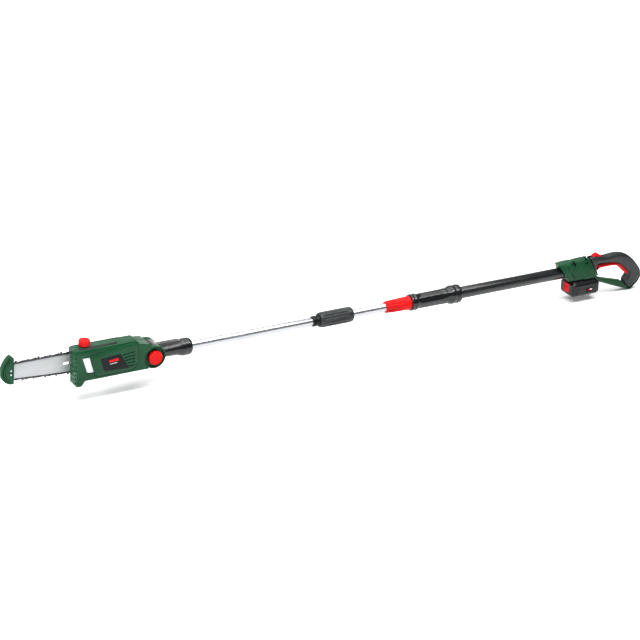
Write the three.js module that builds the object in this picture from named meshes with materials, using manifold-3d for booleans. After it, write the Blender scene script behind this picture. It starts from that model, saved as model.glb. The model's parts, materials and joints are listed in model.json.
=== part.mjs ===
// Telescoping pole saw: a battery chain saw head on a two-piece telescopic pole.
// Units are millimetres. The pole's axis lies along X, with the saw head at -X and the
// handle at +X, and +Z is up. Station 0 is near the front joint of the pole, and the whole
// group is moved at the end so that its origin is the middle of the bottom of its box.

import * as THREE from 'three';
import { mergeVertices } from 'three/addons/utils/BufferGeometryUtils.js';
import Module from 'manifold-3d';

const wasm = await Module();
wasm.setup();

// ---------------------------------------------------------------- driving dimensions

const GAP = 0.3;                 // clearance between touching pieces
const WALL = 2.5;                // plastic wall

const PIVOT_X = -627;            // tilt axis of the saw head, parallel to Y
const PIVOT_Z = 3;
const EAR_R = 38.5;
const EAR_IN = 21.8;             // inner face of each ear, from the middle plane
const KNUCKLE_R = 37.5;

const HEAD_FRONT = -901;
const HEAD_TOP = 79.5;
const HEAD_NEAR = -45;           // near side plane of the head (-Y is the motor side)
const HEAD_FAR = 5;              // bar side wall of the head's front part
const HEAD_REAR_FAR = 38;
const HEAD_SPLIT = -6;           // parting plane of the two head shells

const SPINDLE_X = -843;          // chain sprocket axis, parallel to Y
const SPINDLE_Z = 16.5;
const GEAR_MODULE = 1.25;
const GEAR_TEETH = 40;
const PINION_TEETH = 10;
const MOTOR_X = SPINDLE_X + GEAR_MODULE * (GEAR_TEETH + PINION_TEETH) / 2;
const MOTOR_R = 21;

const BAR_Y = 8;                 // middle plane of the guide bar and chain
const BAR_THICK = 3.2;
const BAR_REACH = 248;           // sprocket centre to bar nose centre
const BAR_TILT = 1.75;           // degrees, nose up
const NOSE_R = 24;
const SPROCKET_R = 17;
const CHAIN_LINKS = 66;          // rivet pitches round the loop
const CHAIN_THICK = 4.6;

const TUBE_R = 14;               // aluminium tubes
const TUBE_WALL = 1.4;
const OUTER_R = 20.5;            // black rear tube
const OUTER_IN = 19.2;
const FRONT_TUBE = [-559, 55];
const MID_TUBE = [64, 800];
const REAR_TUBE = [353, 1000];
const NECK = [-32, 56];
const SLEEVE = [-6, 119];
const LOCK = [250, 346];
const GRIP = [346.5, 490];
const FLANGE = [490.3, 543];

const HANDLE_HALF = 32;          // half width of the handle housing
const LOOP_HALF = 17;            // half width of the loop grip
const BATTERY_HALF = 38;
const BATTERY = [1001, 1117];    // front and rear faces of the battery
const BATTERY_TOP = -31.6;
const BATTERY_SPLIT = -58;
const BATTERY_BASE = -87;

// ---------------------------------------------------------------- shape helpers

const group = new THREE.Group();

function outward(geometry) {
  const pos = geometry.getAttribute('position');
  const index = geometry.getIndex();
  const [a, b, c] = [new THREE.Vector3(), new THREE.Vector3(), new THREE.Vector3()];
  let volume = 0;
  for (let i = 0; i < index.count; i += 3) {
    a.fromBufferAttribute(pos, index.getX(i));
    b.fromBufferAttribute(pos, index.getX(i + 1));
    c.fromBufferAttribute(pos, index.getX(i + 2));
    volume += a.dot(b.cross(c));
  }
  if (volume < 0) {
    for (let i = 0; i < index.count; i += 3) {
      const first = index.getX(i);
      index.setX(i, index.getX(i + 1));
      index.setX(i + 1, first);
    }
  }
  return geometry;
}

function solid(geometry) {
  const bare = geometry.clone();
  bare.deleteAttribute('normal');
  bare.deleteAttribute('uv');
  const merged = outward(mergeVertices(bare, 1e-4));
  return new wasm.Manifold(new wasm.Mesh({
    numProp: 3,
    vertProperties: new Float32Array(merged.getAttribute('position').array),
    triVerts: new Uint32Array(merged.getIndex().array),
  }));
}

function toGeometry(body) {
  const mesh = body.getMesh();
  const geometry = new THREE.BufferGeometry();
  geometry.setAttribute('position', new THREE.BufferAttribute(mesh.vertProperties, 3));
  geometry.setIndex(new THREE.BufferAttribute(mesh.triVerts, 1));
  geometry.computeVertexNormals();
  return geometry;
}

function add(name, body, finish) {
  const mesh = new THREE.Mesh(toGeometry(body), new THREE.MeshStandardMaterial(finish));
  mesh.name = name;
  group.add(mesh);
}

function union(...bodies) {
  return bodies.reduce((sum, body) => sum.add(body));
}

function toShape(points) {
  return new THREE.Shape(points.map(([x, y]) => new THREE.Vector2(x, y)));
}

function extrude(shape, depth, bevel, steps) {
  return new THREE.ExtrudeGeometry(shape, {
    depth: depth - 2 * bevel,
    bevelEnabled: bevel > 0,
    bevelThickness: bevel,
    bevelSize: bevel,
    bevelOffset: -bevel,
    bevelSegments: steps,
    curveSegments: 6,
  }).translate(0, 0, bevel);
}

// A side outline of X and Z points, made solid from y0 to y1.
function plateY(points, y0, y1, bevel = 0, steps = 2) {
  const shape = Array.isArray(points) ? toShape(points) : points;
  return solid(extrude(shape, y1 - y0, bevel, steps).rotateX(Math.PI / 2).translate(0, y1, 0));
}

// A plan outline of X and Y points, made solid from z0 to z1.
function plateZ(points, z0, z1, bevel = 0, steps = 2) {
  return solid(extrude(toShape(points), z1 - z0, bevel, steps).translate(0, 0, z0));
}

// An end outline of Y and Z points, made solid from x0 to x1.
function plateX(points, x0, x1, bevel = 0, steps = 2) {
  const geometry = extrude(toShape(points), x1 - x0, bevel, steps);
  return solid(geometry.rotateX(Math.PI / 2).rotateZ(Math.PI / 2).translate(x0, 0, 0));
}

function block([x0, x1], [y0, y1], [z0, z1]) {
  const geometry = new THREE.BoxGeometry(x1 - x0, y1 - y0, z1 - z0);
  return solid(geometry.translate((x0 + x1) / 2, (y0 + y1) / 2, (z0 + z1) / 2));
}

// A turned solid round an axis. The profile holds [station, radius] points; hollow ones close.
function turned(profile, axis, [x, y, z], sides = 24) {
  const points = profile.map(([station, radius]) => new THREE.Vector2(radius, station));
  const geometry = new THREE.LatheGeometry(points, sides);
  if (axis === 'X') {
    geometry.rotateZ(-Math.PI / 2);
  }
  if (axis === 'Z') {
    geometry.rotateX(Math.PI / 2);
  }
  return solid(geometry.translate(x, y, z));
}

function rod(radius, from, to, axis, centre, sides = 24) {
  return turned([[from, 0], [from, radius], [to, radius], [to, 0]], axis, centre, sides);
}

function ring(inner, outer, from, to, axis, centre, sides = 24) {
  const profile = [[from, inner], [from, outer], [to, outer], [to, inner], [from, inner]];
  return turned(profile, axis, centre, sides);
}

const onAxis = [0, 0, 0];

// Moves every edge of an anticlockwise outline inwards by a distance.
function inset(points, distance) {
  const count = points.length;
  return points.map((point, i) => {
    const before = points[(i + count - 1) % count];
    const after = points[(i + 1) % count];
    const d1 = new THREE.Vector2(point[0] - before[0], point[1] - before[1]).normalize();
    const d2 = new THREE.Vector2(after[0] - point[0], after[1] - point[1]).normalize();
    const n1 = new THREE.Vector2(-d1.y, d1.x);
    const n2 = new THREE.Vector2(-d2.y, d2.x);
    const scale = distance / (1 + n1.dot(n2));
    return [point[0] + (n1.x + n2.x) * scale, point[1] + (n1.y + n2.y) * scale];
  });
}

function toothed(teeth, root, tip, phase, rootShare = 0.46, tipShare = 0.22) {
  const points = [];
  for (let i = 0; i < teeth; i += 1) {
    const pitch = 2 * Math.PI / teeth;
    const middle = i * pitch + phase;
    const corners = [[root, -rootShare], [tip, -tipShare], [tip, tipShare], [root, rootShare]];
    for (const [radius, share] of corners) {
      const angle = middle + share * pitch / 2;
      points.push([radius * Math.cos(angle), radius * Math.sin(angle)]);
    }
  }
  return points;
}

function shifted(points, x, z) {
  return points.map(([px, pz]) => [px + x, pz + z]);
}

// ---------------------------------------------------------------- finishes

const plastic = (color, roughness = 0.45) => ({ color, roughness, metalness: 0 });
const metal = (color, roughness = 0.35) => ({ color, roughness, metalness: 1 });
const green = plastic(0x2a6644);
const red = plastic(0xc8161c);
const black = plastic(0x1c2021);
const darkGrey = plastic(0x2f3436, 0.6);
const steel = metal(0x9a9da0);
const alloy = metal(0xd4d6da);

// ---------------------------------------------------------------- saw head: housing

const headSide = [
  [HEAD_FRONT, -46], [-884, -46], [-871, -30], [-646, -30], [-640, -20],
  [-640, 45], [-649, 55], [-683, 63], [-699, HEAD_TOP], [HEAD_FRONT, HEAD_TOP],
];

function headForm(depth) {
  const side = inset(headSide, depth);
  const top = HEAD_TOP - depth;
  const near = HEAD_NEAR + depth;
  const far = HEAD_FAR - depth;
  const rearFar = HEAD_REAR_FAR - depth;
  const rear = depth > 0 ? -670 : -600;
  const frontSection = [
    [near, -60], [far, -60], [far, top - 5], [far - 5, top], [near + 12, top],
    [near + 4, top - 5], [near, top - 14],
  ];
  const rearSection = [
    [near, -60], [rearFar, -60], [rearFar, 30], [rearFar - 8, 50], [rearFar - 22, 66],
    [far - 8, top], [near + 12, top], [near + 4, top - 5], [near, top - 14],
  ];
  const front = plateX(frontSection, -920, -742).intersect(plateY(side, -60, 60));
  const back = plateX(rearSection, -750 + depth, rear).intersect(plateY(side, -60, 60));
  return union(front, back);
}

function ears() {
  const centre = [PIVOT_X, 0, PIVOT_Z];
  const near = turned([[-40, 0], [-40, EAR_R - 2], [-38, EAR_R], [-EAR_IN, EAR_R], [-EAR_IN, 0]],
    'Y', centre, 28);
  const far = turned([[EAR_IN, 0], [EAR_IN, EAR_R], [38, EAR_R], [40, EAR_R - 2], [40, 0]],
    'Y', centre, 28);
  return union(near, far);
}

const bulge = [
  [-857, 52], [-839, -12], [-827, -20], [-706, -20], [-690, 0], [-690, 60], [-702, 74],
];

function headShells() {
  const centre = [PIVOT_X, 0, PIVOT_Z];
  let form = union(headForm(0), ears());
  form = form.subtract(rod(KNUCKLE_R + 3.5, -EAR_IN, EAR_IN, 'Y', centre, 28));
  form = form.subtract(block([-640, -560], [-EAR_IN, EAR_IN], [-60, 90]));
  form = form.subtract(headForm(WALL));
  form = form.subtract(rod(EAR_R + 1.5, -60, -40, 'Y', centre, 28));
  form = form.subtract(rod(22.5, -60, -27, 'Y', centre));
  form = form.subtract(rod(22.5, 27, 60, 'Y', centre));
  form = form.subtract(rod(4.9, -60, 60, 'Y', centre));
  form = form.subtract(rod(13.4, 60, 90, 'Z', [OIL_X, OIL_Y, 0]));
  form = form.subtract(plateY(windowOutline, -50, -40));
  form = form.subtract(plateY(inset(bulge, 9), -50, -40));
  form = form.subtract(rod(9, 0, 8, 'Y', [SPINDLE_X, 0, SPINDLE_Z]));
  form = form.subtract(rod(4.4, 0, 8, 'Y', [STUD_X, 0, STUD_Z]));
  form = form.subtract(block([-887, -881], [0, 8], [1, 6]));
  form = form.subtract(block([-851, -753], [-44.2, -42], [71, 90]));
  const left = form.intersect(block([-1000, -500], [-80, HEAD_SPLIT - GAP / 2], [-80, 120]));
  const right = form.intersect(block([-1000, -500], [HEAD_SPLIT + GAP / 2, 80], [-80, 120]));
  add('head_shell_left', largest(left), green);
  add('head_shell_right', largest(right), green);
}

function largest(body) {
  const pieces = body.decompose();
  return pieces.reduce((best, piece) => (piece.volume() > best.volume() ? piece : best));
}

const OIL_X = -863;
const OIL_Y = -15;
const windowOutline = [[-883, 50], [-865, -3.5], [-842, -5.5], [-857.5, 48.5]];
const STUD_X = -878;
const STUD_Z = 17.5;

function ventOutlines() {
  const slots = [];
  for (let i = 0; i < 5; i += 1) {
    const x0 = -744 + 6.5 * i;
    const x1 = -702 + 3 * i;
    const z = 39 - 10 * i;
    slots.push([[x0, z], [x1, z + 4], [x1, z + 6.5], [x0, z + 2.5]]);
  }
  return slots;
}

function headTrim() {
  const hollow = plateY(inset(bulge, 3), -47.6, -44);
  let panel = plateY(bulge, -50, HEAD_NEAR - GAP, 2.2).subtract(hollow);
  panel = panel.subtract(plateY(inset(labelOutline, -0.6), -51, -49.1));
  for (const slot of ventOutlines()) {
    panel = panel.subtract(plateY(slot, -51, -46));
  }
  add('side_panel', panel, green);
  add('label_plate', plateY(labelOutline, -50.1, -49.4), black);
  add('oil_window', plateY(inset(windowOutline, GAP), -45, -42.6), plastic(0xd8dadc, 0.2));
}

const labelOutline = [[-823, 39], [-810, -5], [-723, -10], [-753, 44]];

// ---------------------------------------------------------------- saw head: drive

function drive() {
  const at = [SPINDLE_X, 0, SPINDLE_Z];
  const gearRoot = GEAR_MODULE * (GEAR_TEETH / 2 - 1.2);
  const gearTip = GEAR_MODULE * (GEAR_TEETH / 2 + 0.9);
  const gear = plateY(shifted(toothed(GEAR_TEETH, gearRoot, gearTip, 0), SPINDLE_X, SPINDLE_Z),
    -10, -5).subtract(rod(4.3, -11, -4, 'Y', at, 20));
  add('driven_gear', gear, steel);
  const spindle = turned([[-16, 0], [-16, 4], [-4.6, 4], [-4.6, 6], [-2, 6], [-2, 4], [17, 4],
    [17, 0]], 'Y', at, 20);
  add('sprocket_spindle', spindle, steel);
  add('spindle_bearing', ring(4.3, 8, -15.5, -10.4, 'Y', at), steel);
  const star = toothed(6, 11, SPROCKET_R, 0, 0.8, 0.4);
  const hub = ring(4.3, 12, 10.9, 14, 'Y', at, 24);
  const sprocket = plateY(shifted(star, SPINDLE_X, SPINDLE_Z), 6.6, 11)
    .subtract(rod(4.3, 5, 15, 'Y', at, 20));
  add('drive_sprocket', union(sprocket, hub), steel);
}

function motor() {
  const at = [MOTOR_X, 0, SPINDLE_Z];
  const can = turned([[-41, 0], [-41, MOTOR_R - 2], [-39, MOTOR_R], [-13.4, MOTOR_R], [-13.4, 8],
    [-15, 8], [-15, MOTOR_R - 1.6], [-39.4, MOTOR_R - 1.6], [-39.4, 0]], 'Y', at, 24);
  add('motor_can', can, metal(0x6f7478, 0.5));
  const rotor = turned([[-39, 0], [-39, 2.5], [-37, 2.5], [-37, 15], [-18, 15], [-18, 2.5], [-4, 2.5],
    [-4, 0]], 'Y', at, 24);
  add('motor_rotor', rotor, steel);
  const root = GEAR_MODULE * (PINION_TEETH / 2 - 1.2);
  const tip = GEAR_MODULE * (PINION_TEETH / 2 + 0.9);
  const phase = Math.PI / PINION_TEETH;
  const pinion = plateY(shifted(toothed(PINION_TEETH, root, tip, phase), MOTOR_X, SPINDLE_Z), -10, -5)
    .subtract(rod(2.8, -11, -3, 'Y', at, 20));
  add('motor_pinion', pinion, metal(0xb59a55));
}

function gearbox() {
  const plan = [
    [-871, -12], [-788, -12], [-782, -4], [-782, 38], [-788, 46], [-871, 46], [-876, 40], [-876, -6],
  ];
  const plate = plateY(plan, -13, -10.8)
    .subtract(rod(8.3, -14, -10, 'Y', [SPINDLE_X, 0, SPINDLE_Z]))
    .subtract(rod(6, -14, -10, 'Y', [MOTOR_X, 0, SPINDLE_Z], 20));
  add('gearbox_plate', plate, alloy);
}

function oiling() {
  const plan = [[-896, -26], [-839, -26], [-839, 55], [-846, 66], [-890, 66], [-896, 60]];
  const centre = [OIL_X, OIL_Y, 0];
  const neck = rod(12.8, 60, 79, 'Z', centre);
  const body = plateY(plan, -42, -17, 2);
  const upper = block([-884, -842], [-30, -8.5], [52, 66]);
  const inside = union(plateY(inset(plan, 2), -40, -19), rod(10.4, 50, 80, 'Z', centre),
    block([-882, -844], [-28, -10.5], [54, 64]));
  add('oil_tank', union(body, neck, upper).subtract(inside), plastic(0xe4e6e4, 0.35));
  const knurl = toothed(20, 17.3, 18.6, 0, 0.9, 0.5);
  const grip = plateZ(shifted(knurl, OIL_X, OIL_Y), 80.8, 99, 2.5, 1);
  add('oil_cap', union(grip, rod(9.8, 68, 82, 'Z', centre, 20)), red);
  add('oil_cap_seal', ring(10.4, 13.2, 79.4, 80.3, 'Z', centre, 20), black);
  const pump = union(block([-892, -876], [-16.6, -3.4], [-20, -8]),
    rod(3, -3.5, 1.8, 'Y', [-884, 0, -14], 16));
  add('oil_pump', pump, darkGrey);
  const path = new THREE.CatmullRomCurve3([
    [-874, -10, -15], [-866, -9, -16], [-856, -7, -20], [-846, -4, -22], [-838, -3, -22],
  ].map((point) => new THREE.Vector3(...point)));
  const section = new THREE.Shape().absarc(0, 0, 2, 0, 2 * Math.PI);
  add('oil_tube', solid(new THREE.ExtrudeGeometry(section, {
    steps: 12, curveSegments: 4, extrudePath: path,
  })), plastic(0xc9c7b8));
}

// ---------------------------------------------------------------- saw head: bar and chain

const barTurn = THREE.MathUtils.degToRad(BAR_TILT);

// The bar is drawn from the sprocket centre, with u towards the nose and v up.
function onBar(points) {
  return points.map(([u, v]) => [
    SPINDLE_X - u * Math.cos(barTurn) - v * Math.sin(barTurn),
    SPINDLE_Z + u * Math.sin(barTurn) + v * Math.cos(barTurn),
  ]);
}

// The line that the chain's feet run along: sprocket, belly, nose and back.
function barLoop() {
  const belly = [[26, 25.5], [48, 29], [90, 29.2], [160, 27.2]];
  const upper = belly.map(([u, v]) => new THREE.Vector2(u, v));
  const lower = belly.map(([u, v]) => new THREE.Vector2(u, -v)).reverse();
  const loop = new THREE.Shape();
  loop.moveTo(0, 18);
  loop.splineThru([...upper, new THREE.Vector2(BAR_REACH, NOSE_R)]);
  loop.absarc(BAR_REACH, 0, NOSE_R, Math.PI / 2, -Math.PI / 2, true);
  loop.splineThru([...lower, new THREE.Vector2(0, -18)]);
  loop.absarc(0, 0, 18, -Math.PI / 2, -3 * Math.PI / 2, true);
  return loop;
}

function offsetLoop(count, height) {
  const spaced = barLoop().getSpacedPoints(count).slice(0, count);
  return spaced.map((point, i) => {
    const before = spaced[(i + count - 1) % count];
    const after = spaced[(i + 1) % count];
    const along = new THREE.Vector2(after.x - before.x, after.y - before.y).normalize();
    const reach = height(i);
    return [point.x - along.y * reach, point.y + along.x * reach];
  });
}

function chain() {
  const strap = [3.4, 5.2, 5.2];
  const cutter = [3.8, 6, 8.2];
  const height = (i) => {
    const link = Math.floor(i / 3);
    return (link % 4 === 1 ? cutter : strap)[i % 3];
  };
  const shape = toShape(onBar(offsetLoop(3 * CHAIN_LINKS, height)));
  const hole = onBar(offsetLoop(CHAIN_LINKS, () => 0.7));
  shape.holes.push(new THREE.Path(hole.map(([x, z]) => new THREE.Vector2(x, z))));
  add('saw_chain', plateY(shape, BAR_Y - CHAIN_THICK / 2, BAR_Y + CHAIN_THICK / 2), metal(0x2b2e30, 0.5));
}

const NOSE = onBar([[BAR_REACH, 0]])[0];
const SCREW_X = -1102;
const SCREW_Z = [17, 31];

function bar() {
  const tail = 24;
  const edge = onBar(offsetLoop(80, () => 0));
  const y0 = BAR_Y - BAR_THICK / 2;
  const y1 = BAR_Y + BAR_THICK / 2;
  const tailEnd = onBar([[tail, 0]])[0][0];
  let blade = plateY(edge, y0, y1).intersect(block([-1200, tailEnd], [0, 20], [-60, 90]));
  blade = blade.subtract(block([-908, -860], [0, 20], [STUD_Z - 4.4, STUD_Z + 4.4]));
  blade = blade.subtract(rod(2.6, 0, 20, 'Y', [-884, 0, 3.5], 16));
  for (const z of SCREW_Z) {
    blade = blade.subtract(rod(2.2, 0, 20, 'Y', [SCREW_X, 0, z], 16));
  }
  add('guide_bar', blade, metal(0xcfd1d4, 0.4));
  const stud = turned([[-3.4, 0], [-3.4, 6.5], [-0.2, 6.5], [-0.2, 4], [44, 4], [44, 0]], 'Y',
    [STUD_X, 0, STUD_Z], 20);
  add('bar_stud', stud, steel);
}

function tensioner() {
  const screw = rod(2.2, -876, -842, 'X', [0, -2.6, 3.5], 16);
  const pin = rod(2, -2.6, 10, 'Y', [-884, 0, 3.5], 16);
  const carrier = block([-888, -876], [-4.4, 1.9], [0.5, 6.5]);
  add('chain_tensioner', union(screw, carrier, pin), steel);
}

const guardOutline = [
  [-1107, 83], [-1129, 60], [-1135.5, 44], [-1136, 28], [-1129, 13],
  [-1118, -2], [-1106, -13],
];

function guard() {
  const spine = guardOutline.map(([x, z]) => new THREE.Vector2(x, z));
  const shape = new THREE.Shape();
  shape.moveTo(-1106, -16);
  shape.lineTo(-1092, -16);
  shape.lineTo(-1092, 76);
  shape.lineTo(-1100, 83);
  shape.splineThru(spine);
  shape.closePath();
  const full = [-1, 17];
  let body = plateY(shape, full[0], full[1], 2, 1);
  const cells = [[-1098, -6], [-1098, 68], [-1108, 74], [-1122, 57], [-1128, 42], [-1128, 29],
    [-1121, 14], [-1108, 0]];
  body = body.subtract(plateY(cells, -3, 0.8));
  body = body.subtract(plateY(cells, 15.2, 19));
  const pocket = union(rod(35, 4.6, 11.4, 'Y', [NOSE[0], 0, NOSE[1]], 32),
    block([-1093, -1080], [4.6, 11.4], [-12, 60]));
  body = body.subtract(pocket.intersect(block([-1128, -1080], [0, 20], [-11.5, 60])));
  for (const z of SCREW_Z) {
    body = body.subtract(rod(2.1, -5, 20, 'Y', [SCREW_X, 0, z], 16));
  }
  add('bar_tip_guard', largest(body), green);
  SCREW_Z.forEach((z, i) => {
    const profile = [[-1.6, 0], [-1.6, 2.6], [-0.9, 3.4], [0.5, 3.4], [0.5, 1.8], [14.8, 1.8], [14.8, 0]];
    add(`guard_screw_${i + 1}`, turned(profile, 'Y', [SCREW_X, 0, z], 20), metal(0xd8dadc, 0.25));
  });
}

function sprocketCover() {
  const plan = [[-893, -26], [-764, -26], [-753, -14], [-753, 44], [-768, 60], [-893, 60]];
  let cover = plateY(plan, HEAD_FAR + GAP, 36, 3);
  cover = cover.subtract(plateY(inset(plan, WALL), 0, 33.5));
  cover = cover.subtract(block([-900, -886], [0, 13.5], [-21.5, 57.5]));
  cover = cover.subtract(rod(4.6, 30, 40, 'Y', [STUD_X, 0, STUD_Z]));
  cover = cover.subtract(block([-900, -752], [0, 5.6], [-60, 90]));
  add('sprocket_cover', cover, black);
  const lobes = toothed(8, 17, 19, 0, 0.8, 0.5);
  const knob = plateY(shifted(lobes, STUD_X, STUD_Z), 36.4, 50, 2)
    .subtract(rod(4.5, 30, 46, 'Y', [STUD_X, 0, STUD_Z]));
  add('cover_knob', knob, darkGrey);
}

// ---------------------------------------------------------------- tilt joint

function tiltJoint() {
  const centre = [PIVOT_X, 0, PIVOT_Z];
  const bolt = turned([[-25, 0], [-25, 4.5], [27.4, 4.5], [27.4, 9], [31, 9], [31, 0]], 'Y', centre, 24);
  add('pivot_bolt', bolt, steel);
  const button = turned([[-50, 0], [-50, 18.5], [-49, 20], [-38, 21.3], [-32, 21.3], [-32, 0]],
    'Y', centre, 28);
  add('tilt_lock_button', button, red);
  const cap = turned([[31.6, 0], [31.6, 20], [42, 20], [44, 17.5], [44, 0]], 'Y', centre, 28);
  add('pivot_cap', cap, black);
  const splines = shifted(toothed(18, 13.6, 15.6, 0, 0.8, 0.5), PIVOT_X, PIVOT_Z);
  const lockRing = plateY(splines, -20.8, -14).subtract(rod(5.2, -22, -12, 'Y', centre));
  add('tilt_lock_ring', lockRing, steel);
}

function adapter() {
  const centre = [PIVOT_X, 0, PIVOT_Z];
  const knuckle = turned([[-21.3, 0], [-21.3, KNUCKLE_R - 2], [-19.3, KNUCKLE_R], [19.3, KNUCKLE_R],
    [21.3, KNUCKLE_R - 2], [21.3, 0]], 'Y', centre, 30);
  const neck = turned([[-627, 0], [-627, 20.5], [-586, 21], [-532, 23], [-526, 25.5], [-514, 28.5],
    [-492, 28.5], [-484, 25.5], [-484, 0]], 'X', onAxis, 28);
  const rib = plateY([[-632, 20], [-520, 20], [-520, 27.5], [-528, 29.5], [-592, 30.5], [-606, 33],
    [-627, 37]], -10, 10, 1.5);
  let body = union(knuckle, neck, rib);
  body = body.subtract(rod(TUBE_R + GAP, FRONT_TUBE[0] - GAP, -480, 'X', onAxis, 24));
  body = body.subtract(rod(5, -60, 60, 'Y', centre, 24));
  body = body.subtract(rod(16.4, -22, -9, 'Y', centre));
  add('head_adapter', body, plastic(0x15181a, 0.25));
}

// ---------------------------------------------------------------- pole

function tube(name, [x0, x1], outer, inner, finish) {
  add(name, ring(inner, outer, x0, x1, 'X', onAxis, 24), finish);
}

function coupling() {
  const neck = [[NECK[0], TUBE_R + GAP], [NECK[0], 17], [NECK[0] + 2, 18], [NECK[1], 18],
    [NECK[1], TUBE_R + GAP], [NECK[0], TUBE_R + GAP]];
  const hole = rod(3.2, -24, 0, 'Y', [-20, 0, 0], 16).subtract(rod(14.4, -40, 0, 'X', onAxis));
  add('coupling_neck', turned(neck, 'X', onAxis, 24).subtract(hole), darkGrey);
  add('connector_plug', rod(11.8, 38, 58.5, 'X', onAxis, 24), black);
  add('connector_socket', rod(11.8, 59.5, 86, 'X', onAxis, 24), plastic(0x3a3f42));
  add('coupling_socket', ring(TUBE_R + GAP, 18, 65, 112, 'X', onAxis, 24), darkGrey);
  const flutes = plateX(toothed(18, 24.8, 26.2, 0, 1.3, 0.7), SLEEVE[0], SLEEVE[1], 3, 1);
  const bore = turned([[SLEEVE[0] - 5, 0], [SLEEVE[0] - 5, 18.6], [SLEEVE[1] - 6, 18.6],
    [SLEEVE[1] - 5, TUBE_R + GAP], [SLEEVE[1] + 5, TUBE_R + GAP], [SLEEVE[1] + 5, 0]], 'X', onAxis, 24);
  add('coupling_sleeve', flutes.subtract(bore), darkGrey);
}

function telescopeLock() {
  const lip = TUBE_R + 0.5;
  const cone = turned([[LOCK[0], lip], [LOCK[0], 16.6], [LOCK[0] + 2, 17.4], [LOCK[0] + 60, 20.6],
    [LOCK[1] - 1, 24], [LOCK[1], 23.4], [LOCK[1], 17.2], [LOCK[0] + 14, 17.2], [LOCK[0] + 12, lip],
    [LOCK[0], lip]], 'X', onAxis, 28);
  const rib = plateY([[LOCK[0] + 16, 16], [LOCK[1] - 8, 21], [LOCK[1] - 8, 24.8], [LOCK[0] + 16, 19.2]],
    -1.2, 1.2).subtract(rod(17.3, 240, 350, 'X', onAxis, 24));
  let sleeve = cone;
  for (let i = 0; i < 10; i += 1) {
    sleeve = sleeve.add(rib.rotate([36 * i, 0, 0]));
  }
  add('lock_sleeve', sleeve, red);
  const collet = [[266, lip], [266, 15.6], [270, 16.6], [352.6, 16.6], [352.6, 18.8], [372, 18.8],
    [372, lip], [266, lip]];
  let jaws = turned(collet, 'X', onAxis, 24);
  for (const angle of [0, 60, 120]) {
    jaws = jaws.subtract(block([260, 320], [-20, 20], [-1, 1]).rotate([angle, 0, 0]));
  }
  add('lock_collet', jaws, plastic(0xd9d7cc));
  tube('slide_bush', [776, 801], OUTER_IN - 0.25, TUBE_R + GAP, plastic(0xd9d7cc));
}

function gripParts() {
  const bore = OUTER_R + GAP;
  const [g0, g1] = GRIP;
  const grip = turned([[g0, bore], [g0, 26.5], [g0 + 2, 28.5], [g0 + 8, 28.5], [g0 + 10, 26.8],
    [g0 + 13, 26.8], [g0 + 15, 28.5], [g0 + 22, 28.5], [g0 + 26, 26.6], [g1 - 30, 27], [g1, 27.4],
    [g1, bore], [g0, bore]], 'X', onAxis, 28);
  add('front_grip', grip, darkGrey);
  const [f0, f1] = FLANGE;
  const flange = turned([[f0, bore], [f0, 27.4], [f0 + 8, 29], [f0 + 16, 32.5], [f0 + 26, 32.5],
    [f0 + 29, 30.5], [f0 + 33, 30.5], [f0 + 36, 32.5], [f1 - 5, 32.5], [f1, 29], [f1, bore],
    [f0, bore]], 'X', onAxis, 28);
  add('grip_flange', flange, black);
}

function pole() {
  tube('front_tube', FRONT_TUBE, TUBE_R, TUBE_R - TUBE_WALL, alloy);
  coupling();
  tube('mid_tube', MID_TUBE, TUBE_R, TUBE_R - TUBE_WALL, alloy);
  telescopeLock();
  gripParts();
  tube('rear_tube', REAR_TUBE, OUTER_R, OUTER_IN, plastic(0x1a1d1f, 0.3));
}

// ---------------------------------------------------------------- handle

const bodySide = [
  [992, -28], [1112, -30], [1087, 24], [1078, 43], [968, 39],
];
const collarSide = [
  [994, -26], [1060, -28], [1060, 41], [975, 39.5], [951, 38], [979, -13],
];
const loopBar = [
  [1106, -30], [1118.5, -31], [1118.5, -41], [1133, -57], [1241, -99], [1276, -110], [1306, -87], [1323, -57], [1319.5, -57],
  [1303, -84], [1274, -105.5], [1262, -100], [1237, -72.5], [1143, -46], [1124, -33], [1108, -24],
];

function handleShells() {
  const outer = union(plateY(bodySide, -HANDLE_HALF, HANDLE_HALF, 7, 3),
    plateY(collarSide, -27, 27, 4), plateY(loopBar, -13, 13));
  let form = outer.subtract(plateY(inset(bodySide, 6), -HANDLE_HALF + 3, HANDLE_HALF - 3)
    .intersect(block([1003, 1200], [-60, 60], [-24, 90])));
  form = form.subtract(rod(OUTER_R + GAP, 900, 1003.5, 'X', onAxis, 28));
  form = form.subtract(block([960, 1102], [-24, 24], [-31, -26.4]));
  form = form.subtract(block([1059, 1085], [-10.5, 10.5], [-40, -20]));
  form = form.subtract(block([1070, 1150], [-10, 10], [24, 60]));
  const near = form.intersect(block([900, 1400], [-60, -GAP / 2], [-150, 90]));
  const far = form.intersect(block([900, 1400], [GAP / 2, 60], [-150, 90]));
  add('handle_shell_left', largest(near), green);
  add('handle_shell_right', largest(far), green);
}

const gripSide = [
  [1089, 23.5], [1110, -21.5], [1124, -32], [1132, -35], [1120, -9], [1118, 12], [1192, 7], [1221, -4], [1265, -45], [1239.5, -71.5], [1263, -98.5], [1274.5, -104],
  [1301.5, -83], [1318.5, -56.5], [1313, -36], [1282, 1], [1251, 27], [1217, 39], [1182, 40], [1150, 36],
  [1110, 43], [1081.5, 42],
];
const triggerSide = [
  [1125, -15], [1137, -6], [1202, -6], [1227, -11], [1277, -53.5], [1286, -49], [1234, 0],
  [1204, 7], [1124, 7],
];

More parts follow.
